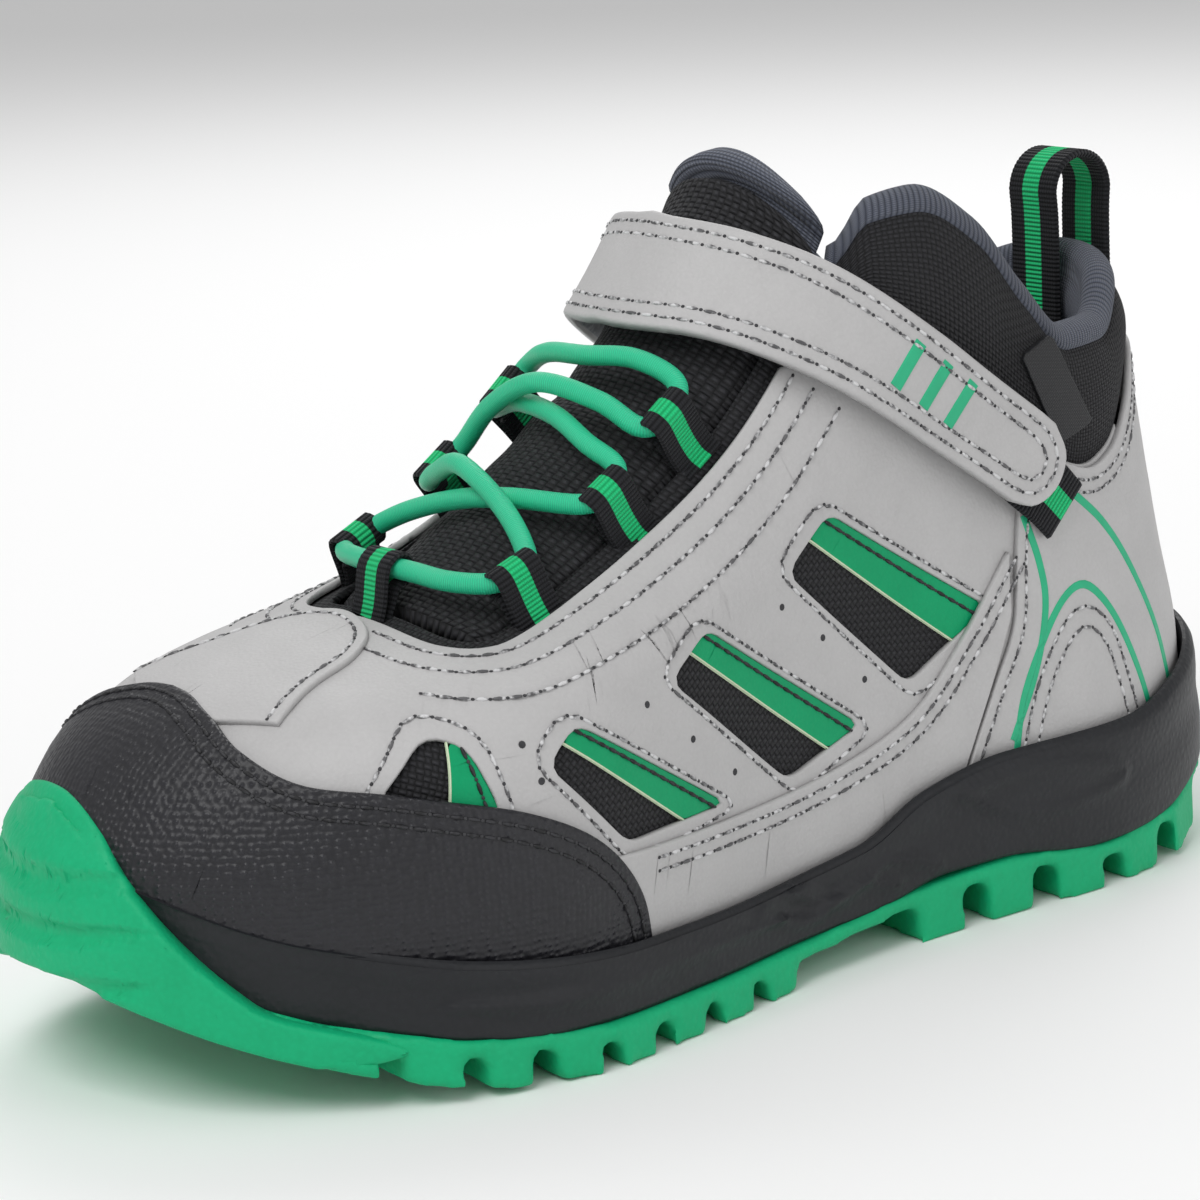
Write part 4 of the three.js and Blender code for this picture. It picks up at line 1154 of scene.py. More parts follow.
@dataclass
class Sole:
    """Midsole, outsole and insole, with the grooves that their moulds leave."""

    voxel: float = 0.95
    leaf_depth: float = 0.9
    slot_depth: float = 1.3

    def build(self) -> None:
        """Makes the sole's pieces."""
        outsole = remoulded("outsole", self.voxel, 7)
        sculpt(outsole, self._behind_bumper)
        Piece("outsole_rubber", RUBBER, "green_rubber", stands_for=("outsole",)).make(outsole)
        Piece("toe_bumper_rubber", RUBBER, "green_rubber").make(self._bumper(), 40)
        midsole = lofted(620, 44, self._wall, lambda s, t: np.stack([s * 560, t * 60], 1))
        sculpt(midsole, self._wall_grooves)
        Piece("midsole_foam", FOAM, "black_foam", stands_for=("midsole",)).make(midsole)
        insole = remoulded("insole", 2.0, 3)
        piece = Piece("insole_pad", KNIT, "grey_mesh", stands_for=("insole",)).make(insole)
        lay_pattern(piece, (1, 0, 0), (0, 1, 0))

    def _wall(self, s: Points, t: Points) -> Points:
        """The midsole's wall round the boot: a section carried from the toe round the heel and back.

        Args:
            s: Shares round the boot.
            t: Shares round the section.

        Returns:
            Points of the wall.
        """
        side = np.where(s < 0.5, 1.0, -1.0)
        turn = np.where(s < 0.5, 2 * s, 2 - 2 * s) * np.pi
        knots = np.linspace(0, 1, len(WALL_SECTION))
        share, rise, offset = (np.interp(t, knots, column) for column in np.array(WALL_SECTION).T)
        z = np.full(len(s), 20.0)
        for _ in range(12):
            front, back = FRONT(z), BACK(z)
            y = front + (back - front) * (1 - np.cos(turn)) / 2
            foot, top = TREAD_TOP(y) + GAP, WALL_TOP(y)
            z = 0.5 * z + 0.5 * (foot + (top - foot) * share + rise)
        width = np.sqrt(np.maximum(FORM.half_width_squared(y, z, side), 0))
        on_form = np.stack([CENTRE(y) + side * width, y, z], 1)
        under = np.clip((y + 92) / 16, 0, 1)
        slim = 1 - 0.55 * (1 - under) * (offset > 2.2)
        return on_form + FORM.normal(on_form) * (offset * slim)[:, None]

    def _behind_bumper(self, p: Points, n: Points) -> Points:
        """Presses the tread's toe back, to leave room for the bumper's skin and its slots."""
        ahead = np.clip((-88 - p[:, 1]) / 3, 0, 1)
        clear = np.clip((p[:, 2] - GROUND_LINE(p[:, 1]) - 2.5) / 1.5, 0, 1)
        return -2.4 * (ahead * clear) * np.clip((FORM.depth(p) - 3) / 1.5, 0, 1)

    def _bumper(self) -> bmesh.types.BMesh:
        """The bumper's skin: its outline as seen from the front, thinner at its top, with slots."""
        outline = rounded(BUMPER_OUTLINE, closed=True, dense=14)
        ahead = np.stack([outline[:, 0], np.full(len(outline), -60.0), outline[:, 1]], 1)
        path = FORM.cast(ahead, np.broadcast_to(-np.eye(3)[1], ahead.shape))
        low_edge = path[:, 2] < GROUND_LINE(path[:, 1]) + 1.2
        path[low_edge, 2] = GROUND_LINE(path[low_edge, 1]) + 1.2
        return Panel(Chart.TOE, 1.2, 6.15, 0.8, 0.85).cut(FORM.settle(path), (), self._bumper_face)

    def _bumper_face(self, p: Points) -> Points:
        """How far the bumper's face lies below its fullest, with its leaf-shaped slots."""
        x, _, z = p.T
        across = (x + 9) / 23
        long = np.sqrt(np.clip(1 - across**2, 0, 1))
        move = np.maximum(BUMPER_LEAN(z), -3.8)
        for height in BUMPER_SLOTS:
            inside = 1 - np.abs(z - height - 2.5 * across**2) / (0.2 + 1.7 * long)
            move = move - self.slot_depth * long * np.clip(inside * 2, 0, 1) ** 0.7
        return move

    def _wall_grooves(self, p: Points, n: Points) -> Points:
        """The leaf along the forefoot, the creases at the arch and the pocket at the heel."""
        wall = np.clip((FORM.depth(p) - 2.6) / 0.6, 0, 1) * (np.abs(n[:, 2]) < 0.9)
        yz = p[:, 1:]
        move = np.zeros(len(p))
        leaf = np.array([[-78, 15.5], [-62, 13.6], [-43, 13.4], [-24, 13.2], [-8, 12.6]], float)
        along = np.clip((yz[:, 0] + 78) / 70, 0, 1)
        move -= self.leaf_depth * np.exp(-(gap_to(yz, leaf) / (0.7 + 1.3 * np.sin(np.pi * along))) ** 2)
        for line in (((-6, 17), (6, 12), (18, 16), (30, 13)), ((-14, 15), (-2, 10.5), (10, 14), (20, 11.5)),
                     ((36, 24), (52, 25.5), (68, 23), (74, 19.5), (62, 17.5), (48, 18.5), (36, 24))):
            move -= 0.8 * np.exp(-(gap_to(yz, rounded(line, dense=12)) / 1.1) ** 2)
        pocket = ((yz[:, 0] - 56) / 15) ** 2 + ((yz[:, 1] - 21.4) / 2.6) ** 2
        move -= 0.5 * np.clip(1.2 - pocket, 0, 1)
        return move * wall


def lay_pattern(piece: bpy.types.Object, across: Sequence[float], up: Sequence[float]) -> None:
    """Gives a piece a flat texture map, in mm.

    Args:
        piece: The piece.
        across: The map's first direction.
        up: Its second direction.
    """
    mesh = piece.data
    co = np.zeros(len(mesh.vertices) * 3)
    mesh.vertices.foreach_get("co", co)
    co = co.reshape(-1, 3) / MM
    corner = np.zeros(len(mesh.loops), int)
    mesh.loops.foreach_get("vertex_index", corner)
    flat = np.stack([co @ np.array(across, float), co @ np.array(up, float)], 1)[corner]
    layer = mesh.uv_layers.get("pattern") or mesh.uv_layers.new(name="pattern")
    layer.data.foreach_set("uv", flat.ravel())


# ---------------------------------------------------------------- upper
WINDOWS = (
    ((-69.5, 55), (-74.5, 57), (-84, 47.5), (-66, 43.5)),
    ((-51, 55.5), (-57.5, 50), (-42, 34), (-17.5, 34.5)),
    ((-18, 63.5), (-28.5, 57.2), (-1, 34), (17.5, 39.5)),
    ((14, 76.5), (3.2, 68.2), (29.5, 44), (49, 54)),
)
CAP_EDGE = ((-93.5, 60.7), (-95.5, 58.7), (-96.3, 55), (-92, 50.8), (-80, 48.5), (-62, 43.5), (-49, 36),
            (-41, 26), (-37.5, 14))
FOXING_EDGE = ((-60, 36), (-47, 33), (-25, 32), (2, 32.5), (27, 38), (42, 50), (53.5, 63))
HEEL_EDGE = ((57.5, 75.2), (56, 68), (55, 60), (53.5, 50), (48, 40), (41, 27), (39, 18))
TAB_EDGE = ((17.5, -90), (14.5, -80), (13, -72), (8, -65.5), (-2, -62.7), (-12, -65.5), (-17, -72),
            (-20, -80), (-24, -90))
STRIP_SHARE = 0.44  # the inlay's share of a window's front and rear edges


def strip_of(window: Sequence[Sequence[float]]) -> list:
    """The inlay along a window's first edge, wider towards the rear.

    Args:
        window: Its corners, from the two ends of its front edge to those of its rear edge.

    Returns:
        The inlay's corners.
    """
    top, low_front, low_rear, rear = (np.array(p, float) for p in window)
    return [top, top + (low_front - top) * STRIP_SHARE, rear + (low_rear - rear) * STRIP_SHARE, rear]


def joined(*paths: Points) -> Points:
    """Paths end to end as one."""
    return np.concatenate(paths)


@dataclass
class Upper:
    """Quarters, windows with their cloth and inlays, toe cap, tab, foxing and heel panel."""

    throat_centre: float = 2.0
    throat_front: float = -62.0
    low_edge: float = 6.0

    def build(self) -> None:
        """Makes the upper's pieces."""
        for side in Side:
            self._quarter(side)
            self._windows(side)
            self._foxing(side)
        self._lining()
        self._gusset()
        self._toe_cap()
        self._vamp_tab()
        self._heel()

    def throat_edge(self, side: Side, back: float = 9.0) -> Points:
        """The lace opening's edge on one side.

        Args:
            side: Which side.
            back: Where it ends, along the boot.

        Returns:
            Points from the front middle to the back.
        """
        x = self.throat_centre + side.value * np.array([0, 14, 20, 23.2, 24, 24, 24])
        y = self.throat_front + np.array([0, 0.3, 2.2, 6, 12, 30, back - self.throat_front])
        if side is Side.LATERAL:
            x = x + np.array([0, 0, 0.5, 1.4, 1.8, 0.5, -1])
        return on_instep(rounded(np.stack([x, y], 1)))

    def _quarter(self, side: Side) -> None:
        """One quarter, with its stitching and a painted shadow in each punched hole."""
        s = side.value
        split = on_instep([(CENTRE(-103) + 0.3 * s, -98), (-3 + 0.3 * s, -80), (-1.4 + 0.3 * s, -62)])
        throat = self.throat_edge(side)
        y = np.linspace(throat[-1, 1], 86, 60)
        start = throat[-1, 2] - QUARTER_TOP(throat[-1, 1])
        top = on_side(np.stack([y, QUARTER_TOP(y) + start * np.linspace(1, 0, 60) ** 3], 1), side)
        y = np.linspace(86, -98, 90)
        bottom = on_side(np.stack([y, WALL_TOP(y) - self.low_edge], 1), side)
        toe = on_side([(-98, float(WALL_TOP(-98)) - self.low_edge), (-98, 55), (-98, 58.2)], side)
        windows = [on_side(soft_corners(w, 3.0), side) for w in WINDOWS]
        panel = Panel(Chart.WRAP, -1.2, 0.0)
        Piece(f"quarter_leather_{side.label}", LEATHER, "grey_leather",
              stands_for=(f"quarter_{side.label}",)).make(
            panel.cut(joined(split, throat, top, bottom, toe), windows))
        rows = []
        inward = -s
        for inset in (2.6, 7.0, 13.5):
            edge = throat[4:] if inset < 10 else throat[14:]
            rows.append((beside(edge, inward * inset), 0.05))
        for window in WINDOWS:
            middle = np.mean(window, axis=0)
            grown = [middle + (np.array(p) - middle) * (1 + 3.4 / np.linalg.norm(np.array(p) - middle))
                     for p in window]
            rows.append((on_side(soft_corners(grown, 4.0), side), 0.05))
        dots = [(1, 63), (10, 56), (19, 47), (-35, 55), (-25, 47), (-15, 39), (-61, 54), (-59, 48),
                (36, 42), (40, 47)]
        SEAM.sew(rows, Piece(f"quarter_stitching_{side.label}", THREAD_GREY, "grey_leather",
                             second=NEEDLE_HOLE_SHADOW))
        # Dark flat spots in the painted shadow finish, standing for the shade in the punched holes.
        bm = bmesh.new()
        for dot in dots:
            p = on_side([dot, (dot[0] + 0.3, dot[1])], side)[:1]
            spot = bmesh.ops.create_uvsphere(bm, u_segments=10, v_segments=6, radius=0.62)["verts"]
            turn = Vector(FORM.normal(p)[0]).to_track_quat("Z", "Y").to_matrix()
            bmesh.ops.scale(bm, vec=(1, 1, 0.25), verts=spot)
            bmesh.ops.rotate(bm, matrix=turn, verts=spot)
            bmesh.ops.translate(bm, vec=p[0], verts=spot)
        Piece(f"punched_dots_{side.label}", NEEDLE_HOLE_SHADOW, "grey_leather").make(bm)

    def _windows(self, side: Side) -> None:
        """The cloth, inlay and raw edge in each window."""
        for number, window in enumerate(WINDOWS, 1):
            middle = np.mean(window, axis=0)
            grown = [middle + (np.array(p) - middle) * 1.16 for p in window]
            cloth = Panel(Chart.WRAP, -2.6, -1.5, 0.3, 2.5, crown=0.5, crown_width=7)
            made = Piece(f"window_cloth_{side.label}_{number}", OXFORD, "black_oxford").make(
                cloth.cut(on_side(soft_corners(grown, 2), side)))
            slope = np.array(window[1], float) - np.array(window[0], float)
            slope /= np.linalg.norm(slope)
            lay_pattern(made, (0, slope[0], slope[1]), (0, -slope[1], slope[0]))
            strip = strip_of(window)
            top, low_front, low_rear, rear = strip
            inlay = Panel(Chart.WRAP, -1.5, -0.55, 0.2, 2.5, crown=0.35, crown_width=3)
            Piece(f"window_inlay_{side.label}_{number}", INLAY, "green_trim",
                  stands_for=(f"insert_{side.label}_{number}",)).make(
                inlay.cut(on_side(soft_corners([top, low_front, low_rear, rear], 0.8), side)))
            edge = on_side([low_front, low_rear], side)
            Piece(f"inlay_raw_edge_{side.label}_{number}", RAW_EDGE, "green_trim").make(
                strip_on_form(edge, 0.5, -1.3, -0.45))
            share = 0.28
            line = on_side([top + (low_front - top) * share, rear + (low_rear - rear) * share], side)
            SEAM.sew([(line, -0.2)], Piece(f"inlay_stitching_{side.label}_{number}", THREAD_DARK,
                                           "green_trim", second=NEEDLE_HOLE_SHADOW))

    def _foxing(self, side: Side) -> None:
        """The long side panel under the windows."""
        top = on_side(rounded(FOXING_EDGE), side)
        rear = on_side([(53.6, 63), (53, 52), (47.4, 40.6), (40.4, 27.6), (38.4, 20)], side)
        y = np.linspace(38.4, -58, 60)
        bottom = on_side(np.stack([y, WALL_TOP(y) - self.low_edge], 1), side)
        Piece(f"foxing_leather_{side.label}", LEATHER, "grey_leather",
              stands_for=(f"foxing_{side.label}",)).make(
            Panel(Chart.WRAP, 0.0, 1.2).cut(joined(top, rear, bottom)))
        low = -side.value
        rows = [(beside(top[16:], low * 1.8), 1.25), (beside(top[16:], low * 4.0), 1.25)]
        SEAM.sew(rows, Piece(f"foxing_stitching_{side.label}", THREAD_GREY, "grey_leather",
                             second=NEEDLE_HOLE_SHADOW))

    def _lining(self) -> None:
        """The knit lining, with its ribs running up the boot."""
        bm = bmesh.new()
        bm.from_mesh(frame["nodes"]["lining"].data)
        back = Matrix.Scale(1 / MM, 4) @ Matrix.Translation(Vector(-PATTERN_ORIGIN * MM))
        bmesh.ops.transform(bm, matrix=back, verts=bm.verts)
        bmesh.ops.remove_doubles(bm, verts=bm.verts, dist=1e-4)
        made = Piece("lining_mesh", KNIT, "grey_mesh", stands_for=("lining",)).make(bm)
        lay_pattern(made, (0, 1, 0), (0, 0, 1))

    def _gusset(self) -> None:
        """The cloth that lines the lace opening's edge."""
        outer = joined(self.throat_edge(Side.MEDIAL, 14)[::-1], self.throat_edge(Side.LATERAL, 14)[1:])
        wide, narrow = beside(outer, -4.0), beside(outer, 4.0)
        made = Piece("throat_gusset", OXFORD, "black_oxford", stands_for=("textile_shell",)).make(
            Panel(Chart.INSTEP, -2.8, -1.6, 0.3, 3.0).cut(joined(wide, narrow[::-1])))
        lay_pattern(made, (1, 0, 0), UP_INSTEP)

    def _toe_cap(self) -> None:
        """The cap over the toe, with its two rows of stitching."""
        lateral = on_side(rounded(CAP_EDGE), Side.LATERAL)
        medial = on_side(rounded(CAP_EDGE), Side.MEDIAL)
        y = np.linspace(-37.5, -117.3, 120)
        floor = np.stack([y, np.maximum(WALL_TOP(y) - self.low_edge, 13.5)], 1)
        bottom = joined(on_side(floor, Side.LATERAL), on_side(floor, Side.MEDIAL)[::-1])
        Piece("toe_cap_skin", CAP, "black_cap", stands_for=("toe_cap",)).make(
            Panel(Chart.TOE, 0.0, 1.7, 0.7, 3.0).cut(joined(lateral, bottom, medial[::-1])))
        edge = joined(medial[::-1], lateral[1:])
        rows = [(beside(edge, -inset), 1.78) for inset in (2.2, 4.6)]
        SEAM.sew(rows, Piece("toe_cap_stitching", THREAD_DARK, "black_cap", second=NEEDLE_HOLE_SHADOW))

    def _vamp_tab(self) -> None:
        """The tab from the cap up to the lace opening."""
        edge = on_instep(rounded(TAB_EDGE))
        front = on_instep([TAB_EDGE[-1], (-14, -96), (-4, -97), (8, -96), TAB_EDGE[0]])
        Piece("vamp_tab_leather", LEATHER, "grey_leather", stands_for=("vamp_tab",)).make(
            Panel(Chart.INSTEP, 0.0, 1.1, 0.4, 3.0).cut(joined(edge, front)))
        SEAM.sew([(beside(edge, 1.9), 1.15)], Piece("vamp_tab_stitching", THREAD_GREY, "grey_leather",
                                                      second=NEEDLE_HOLE_SHADOW))

    def _heel(self) -> None:
        """The panel round the heel, its printed lines, arches and back patch."""
        paths = []
        for side in Side:
            y = np.linspace(59, 104.2, 80)
            top = on_side(np.stack([y, QUARTER_TOP(y) - 0.6], 1), side)
            front = on_side(rounded(HEEL_EDGE), side)
            paths.append(joined(front[::-1], top))
        y = np.linspace(39, 113.5, 90)
        floor = np.stack([y, WALL_TOP(y) - self.low_edge], 1)
        bottom = joined(on_side(floor, Side.MEDIAL), on_side(floor, Side.LATERAL)[::-1])
        Piece("heel_panel_leather", LEATHER, "grey_leather", stands_for=("heel_panel",)).make(
            Panel(Chart.HEEL, 0.0, 1.2, pitch=3.0).cut(joined(paths[0], paths[1][::-1], bottom)))
        rows, prints = [], []
        for side in Side:
            low = -side.value
            y = np.linspace(60, 103.8, 80)
            top = on_side(np.stack([y, QUARTER_TOP(y) - 0.6], 1), side)
            rows += [(beside(top, low * inset), 1.25) for inset in (2.2, 4.4)]
            front = on_side(rounded(HEEL_EDGE), side)
            rows.append((beside(front[3:], side.value * 1.9), 1.25))
            arch = rounded([(53, 27), (57, 38), (64, 48), (70, 50.5), (76, 46), (80, 36), (83, 27)])
            rows.append((on_side(arch, side), 1.25))
            rows.append((on_side(rounded([(56, 27), (60, 37.5), (65.5, 45), (70, 47), (74.5, 43), (77.5, 35),
                                          (80, 27)]), side), 1.25))
            for line in (((57, 69), (60, 60), (60.5, 52), (57, 41), (51, 30)),
                         ((51, 25), (54, 37), (60.5, 48), (66, 53.5), (71, 54), (77, 48), (83, 37), (87, 27)),
                         ((69, 71), (77, 64), (84, 55), (91, 42), (96, 28))):
                prints.append(on_side(rounded(line), side))
        SEAM.sew(rows, Piece("heel_stitching", THREAD_GREY, "grey_leather", second=NEEDLE_HOLE_SHADOW))
        bm = bmesh.new()
        for path in prints:
            line = strip_on_form(path, 1.5, 1.1, 1.32)
            made = bpy.data.meshes.new("line")
            line.to_mesh(made)
            line.free()
            bm.from_mesh(made)
            bpy.data.meshes.remove(made)
        Piece("heel_printed_lines", PRINT, "green_trim").make(bm)
        turn = np.linspace(0, 2 * np.pi, 60)
        x, z = 1 + 11.5 * np.sign(np.cos(turn)) * np.abs(np.cos(turn)) ** 0.8, 66 + 20 * np.sin(turn)
        start = np.stack([x, np.full(60, 60.0), z], 1)
        outline = FORM.cast(start, np.broadcast_to(np.eye(3)[1], start.shape))
        made = Piece("heel_patch_cloth", OXFORD, "black_mesh", stands_for=("heel_patch",)).make(
            Panel(Chart.HEEL, 0.9, 1.9, 0.4, 3.0, crown=0.5, crown_width=6).cut(outline))
        lay_pattern(made, (1, 0, 0), (0, 0, 1))
        SEAM.sew([(outline, 1.6)], Piece("heel_patch_stitching", THREAD_DARK, "black_mesh",
                                         second=NEEDLE_HOLE_SHADOW))


# ---------------------------------------------------------------- collar and tongue
def heel_wall(turn: Points, height: Callable[[Points], Points]) -> tuple[Points, Points]:
    """Where a height curve along the boot meets the form, seen round the heel.

    Args:
        turn: Angles round the heel's axis.
        height: The curve, by y.

    Returns:
        Points on the form, and the curve's heights there.
    """
    z = np.full(len(turn), 105.0)
    for _ in range(8):
        p = Chart.HEEL.to_form(np.stack([turn * HEEL_RADIUS, z], 1))
        z = 0.5 * z + 0.5 * height(p[:, 1])
    return p, z


@dataclass
class Collar:
    """The padded collar in oxford cloth, with the mesh lining rolled over its rim."""

    reach: float = 1.02  # how far forward of sideways the pad goes, in radians
    crown: float = 2.3
    roll: float = 3.1

    def build(self) -> None:
        """Makes the pad, the lining and the label."""
        self._pad()
        self._lining()
        label = on_side(soft_corners([(66.5, 80), (76, 82.5), (64.5, 100), (57.5, 97)], 0.6), Side.LATERAL)
        made = Piece("woven_label_tab", LABEL_SATIN, "black_label", stands_for=("woven_label",)).make(
            Panel(Chart.HEEL, 0.1, 1.25, 0.25, 2.5).cut(label))
        lay_pattern(made, (0, 0.8, 0.6), (0, -0.6, 0.8))

    def _sweep(self, section: Callable[[Points, Points], tuple], around: int) -> bmesh.types.BMesh:
        """Carries a section round the heel from front to front.

        Args:
            section: Takes shares along and round to heights (as shares from foot to rim, and mm
                above) and offsets.
            around: Steps round the section.

        Returns:
            The mesh.
        """
        def place(s: Points, t: Points) -> Points:
            """Points on the sweep, from its inner end round the heel."""
            turn = -self.reach + s * (np.pi + 2 * self.reach)
            _, rim = heel_wall(turn, RIM)
            _, foot = heel_wall(turn, QUARTER_TOP)
            z, offset = section(s, t, foot - 5.0, rim)
            p = Chart.HEEL.to_form(np.stack([turn * HEEL_RADIUS, z], 1))
            return p + FORM.normal(p) * offset[:, None]

        def pattern(s: Points, t: Points) -> Points:
            """The cloth, in millimetres along the rim and round the section."""
            return np.stack([s * 208.0, t * 2 * 40.0], 1)

        return lofted(150, around, place, pattern)

    def _ends(self, s: Points) -> Points:
        """How full the pad is: less within a few millimetres of its ends."""
        t = np.clip(np.minimum(s, 1 - s) / 0.03, 0, 1)
        return np.sqrt(np.clip(1 - (1 - t) ** 2, 0.02, 1))

    def _pad(self) -> None:
        """The pad's outer cloth over its foam."""
        def section(s: Points, t: Points, foot: Points, rim: Points) -> tuple:
            """Heights and offsets: up the outside, over the top and down the back."""
            top = rim - 4.6
            full = self._ends(s)
            up = np.clip(t / 0.46, 0, 1)
            down = np.clip((t - 0.54) / 0.46, 0, 1)
            turn = np.clip((t - 0.46) / 0.08, 0, 1)
            share = np.where(t < 0.5, up, 1 - down)
            z = foot + (top - foot) * share + 1.4 * np.sin(np.pi * turn)
            bulge = self.crown * np.sin(np.pi * np.clip((up - 0.12) / 0.88, 0, 1)) ** 0.7
            wave = 0.18 * np.sin(s * 61) * np.sin(np.pi * up)
            outside = -1.7 + bulge + wave
            return z, np.where(t < 0.46, -3.6 + (outside + 3.6) * full,
                               np.where(t > 0.54, -3.6 - 2.2 * full,
                                        -3.6 + full * (1.9 - 4.1 * turn)))

        piece = Piece("collar_pad", OXFORD, "black_oxford", stands_for=("collar",)).make(
            self._sweep(section, 48), 75.0)

    def _lining(self) -> None:
        """The lining: a soft roll on the rim, then down inside."""
        def section(s: Points, t: Points, foot: Points, rim: Points) -> tuple:
            """Heights and offsets: round the roll, down inside and back up."""
            full = self._ends(s)
            r = self.roll
            turn = np.clip(t / 0.4, 0, 1) * np.pi * 1.12 - 0.3
            z = rim - r + r * np.sin(turn) * (0.9 + 0.1 * full)
            offset = -4.3 + r * np.cos(turn) * full
            down = np.clip((t - 0.4) / 0.4, 0, 1)
            inner = -7.4 - 1.6 * np.sin(np.pi * np.clip(down * 1.1, 0, 1)) * full
            z = np.where(t > 0.4, rim - r * 1.6 - (rim - r * 1.6 - foot - 2) * down, z)
            offset = np.where(t > 0.4, inner, offset)
            back = np.clip((t - 0.8) / 0.2, 0, 1)
            z = np.where(t > 0.8, foot + 2 + (rim - 6.4 - foot - 2) * back, z)
            offset = np.where(t > 0.8, -6.2 + 1.6 * back * full, offset)
            return z, offset

        piece = Piece("collar_lining_mesh", KNIT, "grey_mesh", stands_for=("collar_lining",)).make(
            self._sweep(section, 50), 75.0)


@dataclass
class Tongue:
    """The padded tongue: oxford outside, the mesh lining rolled over its top."""

    half: float = 22.0
    middle: float = 2.0
    laced_puff: float = 2.6
    base: float = -57.0
    top: float = 137.0

    def build(self) -> None:
        """Makes the tongue's cloth and its lining."""
        cloth = lofted(110, 60, self._cloth, self._pattern)
        piece = Piece("tongue_pad", OXFORD_HEAVY, "black_oxford", "tongue",
                      stands_for=("tongue",)).make(cloth, 75)
        lining = lofted(110, 60, self._roll, self._pattern)
        piece = Piece("tongue_lining_mesh", KNIT, "grey_mesh", "tongue",
                      stands_for=("tongue_lining",)).make(lining, 75)

    def _pattern(self, s: Points, t: Points) -> Points:
        """Places on the weave."""
        return np.stack([s * 176.0, t * 2 * 46.0], 1)

    def _rise(self, s: Points, last: float) -> Points:
        """Places up the instep for shares of the tongue's length."""
        height, dense = np.linspace(50, last, 200), np.linspace(50, 144, 400)
        ridge = np.stack([np.zeros(200), np.interp(height, dense, FRONT(dense)), height], 1)
        ridge = ridge[ridge[:, 1] >= self.base]
        rise = resample(ridge, 0.5) @ UP_INSTEP
        return np.interp(s, np.linspace(0, 1, len(rise)), rise)

    def _place(self, s: Points, across: Points, offset: Points, last: float) -> Points:
        """Points over the instep.

        Args:
            s: Shares along the tongue.
            across: Shares across it, from -1 to 1.
            offset: Offsets from the form.
            last: Height of the far end at its middle.

        Returns:
            The points.
        """
        corner = np.clip((s - 0.955) / 0.045, 0, 1)
        half = self.half * (1 - 0.22 * corner**2.2) - 3.0 * np.clip(1 - s / 0.04, 0, 1)
        v = self._rise(s, last) - 2.2 * across**2 * np.clip((s - 0.8) / 0.2, 0, 1)
        p = Chart.INSTEP.to_form(np.stack([self.middle + across * half, v], 1))
        return p + FORM.normal(p) * offset[:, None]

    def _cloth(self, s: Points, t: Points) -> Points:
        """The padded front and plain back of the cloth."""
        front = t < 0.5
        across = np.where(front, 1 - 4 * t, 4 * t - 3)
        edge = np.clip((1 - np.abs(across)) / 0.16, 0, 1)
        round_edge = np.sqrt(np.clip(1 - (1 - edge) ** 2, 0, 1))
        ends = np.sqrt(np.clip(1 - (1 - np.clip(np.minimum(s, 1 - s) / 0.012, 0, 1)) ** 2, 0, 1))
        puff = 1.3 * np.cos(across * np.pi / 2) ** 0.6 * (0.6 + 0.4 * np.sin(s * 23) ** 2)
        laced = np.sin(np.pi * np.clip(s / 0.54, 0, 1)) ** 0.6
        puff += self.laced_puff * laced * np.cos(across * np.pi / 2)
        seam = 0.7 * np.exp(-((s - 0.86) / 0.008) ** 2)
        thick = (1.5 + puff - seam) * round_edge * ends
        return self._place(s, across, np.where(front, -4.5 + thick, -4.5 - 1.3 * round_edge * ends),
                           self.top - 4.6)

    def _roll(self, s: Points, t: Points) -> Points:
        """The lining's inner face, and the roll that comes over the top."""
        front = t < 0.5
        across = np.where(front, 1 - 4 * t, 4 * t - 3)
        edge = np.sqrt(np.clip(1 - (1 - np.clip((1 - np.abs(across)) / 0.14, 0, 1)) ** 2, 0, 1))
        over = np.clip((s - 0.955) / 0.012, 0, 1)
        ends = np.sqrt(np.clip(1 - (1 - np.clip(np.minimum(s * 3, (1 - s) / 0.02), 0, 1)) ** 2, 0, 1))
        out = -6.4 + over * 4.4 * ends
        back = -7.2 - 0.7 * np.cos(across * np.pi / 2) * edge
        centre = -6.8 + over * 2.0
        return self._place(s, across, centre + (np.where(front, out, back) - centre) * edge * ends, self.top)


# ---------------------------------------------------------------- ankle strap
STRAP_LOW = ((52, 72.5), (43, 79), (20, 94.5), (6, 102.5), (-1, 105.6), (-6.4, 106.4))
STRAP_LOW_INNER = ((-6.4, 106.4), (-1, 105.6), (6, 102.5), (17.2, 96.1))  # up to the hinge
STRAP_END = ((52, 72.5), (57, 71), (62, 73.6), (64.3, 79), (62, 85))
STRAP_HIGH = ((62, 85), (56, 90), (34, 106.5), (20, 117), (12, 121.6), (7.7, 123.2))
STRAP_HIGH_INNER = ((7.7, 123.2), (12, 121.6), (20, 117), (27.8, 111.1))
BAR_PLACES = (29.0, 34.5, 40.0)  # along the boot
ANCHOR = ((18.1, 95.6), (39, 82), (50, 94), (38, 103.5), (28.6, 110.5), (18.1, 95.6))
PATCH = [(41, 84), (50, 77.5), (55, 83.5), (50, 90), (44, 94.5)]


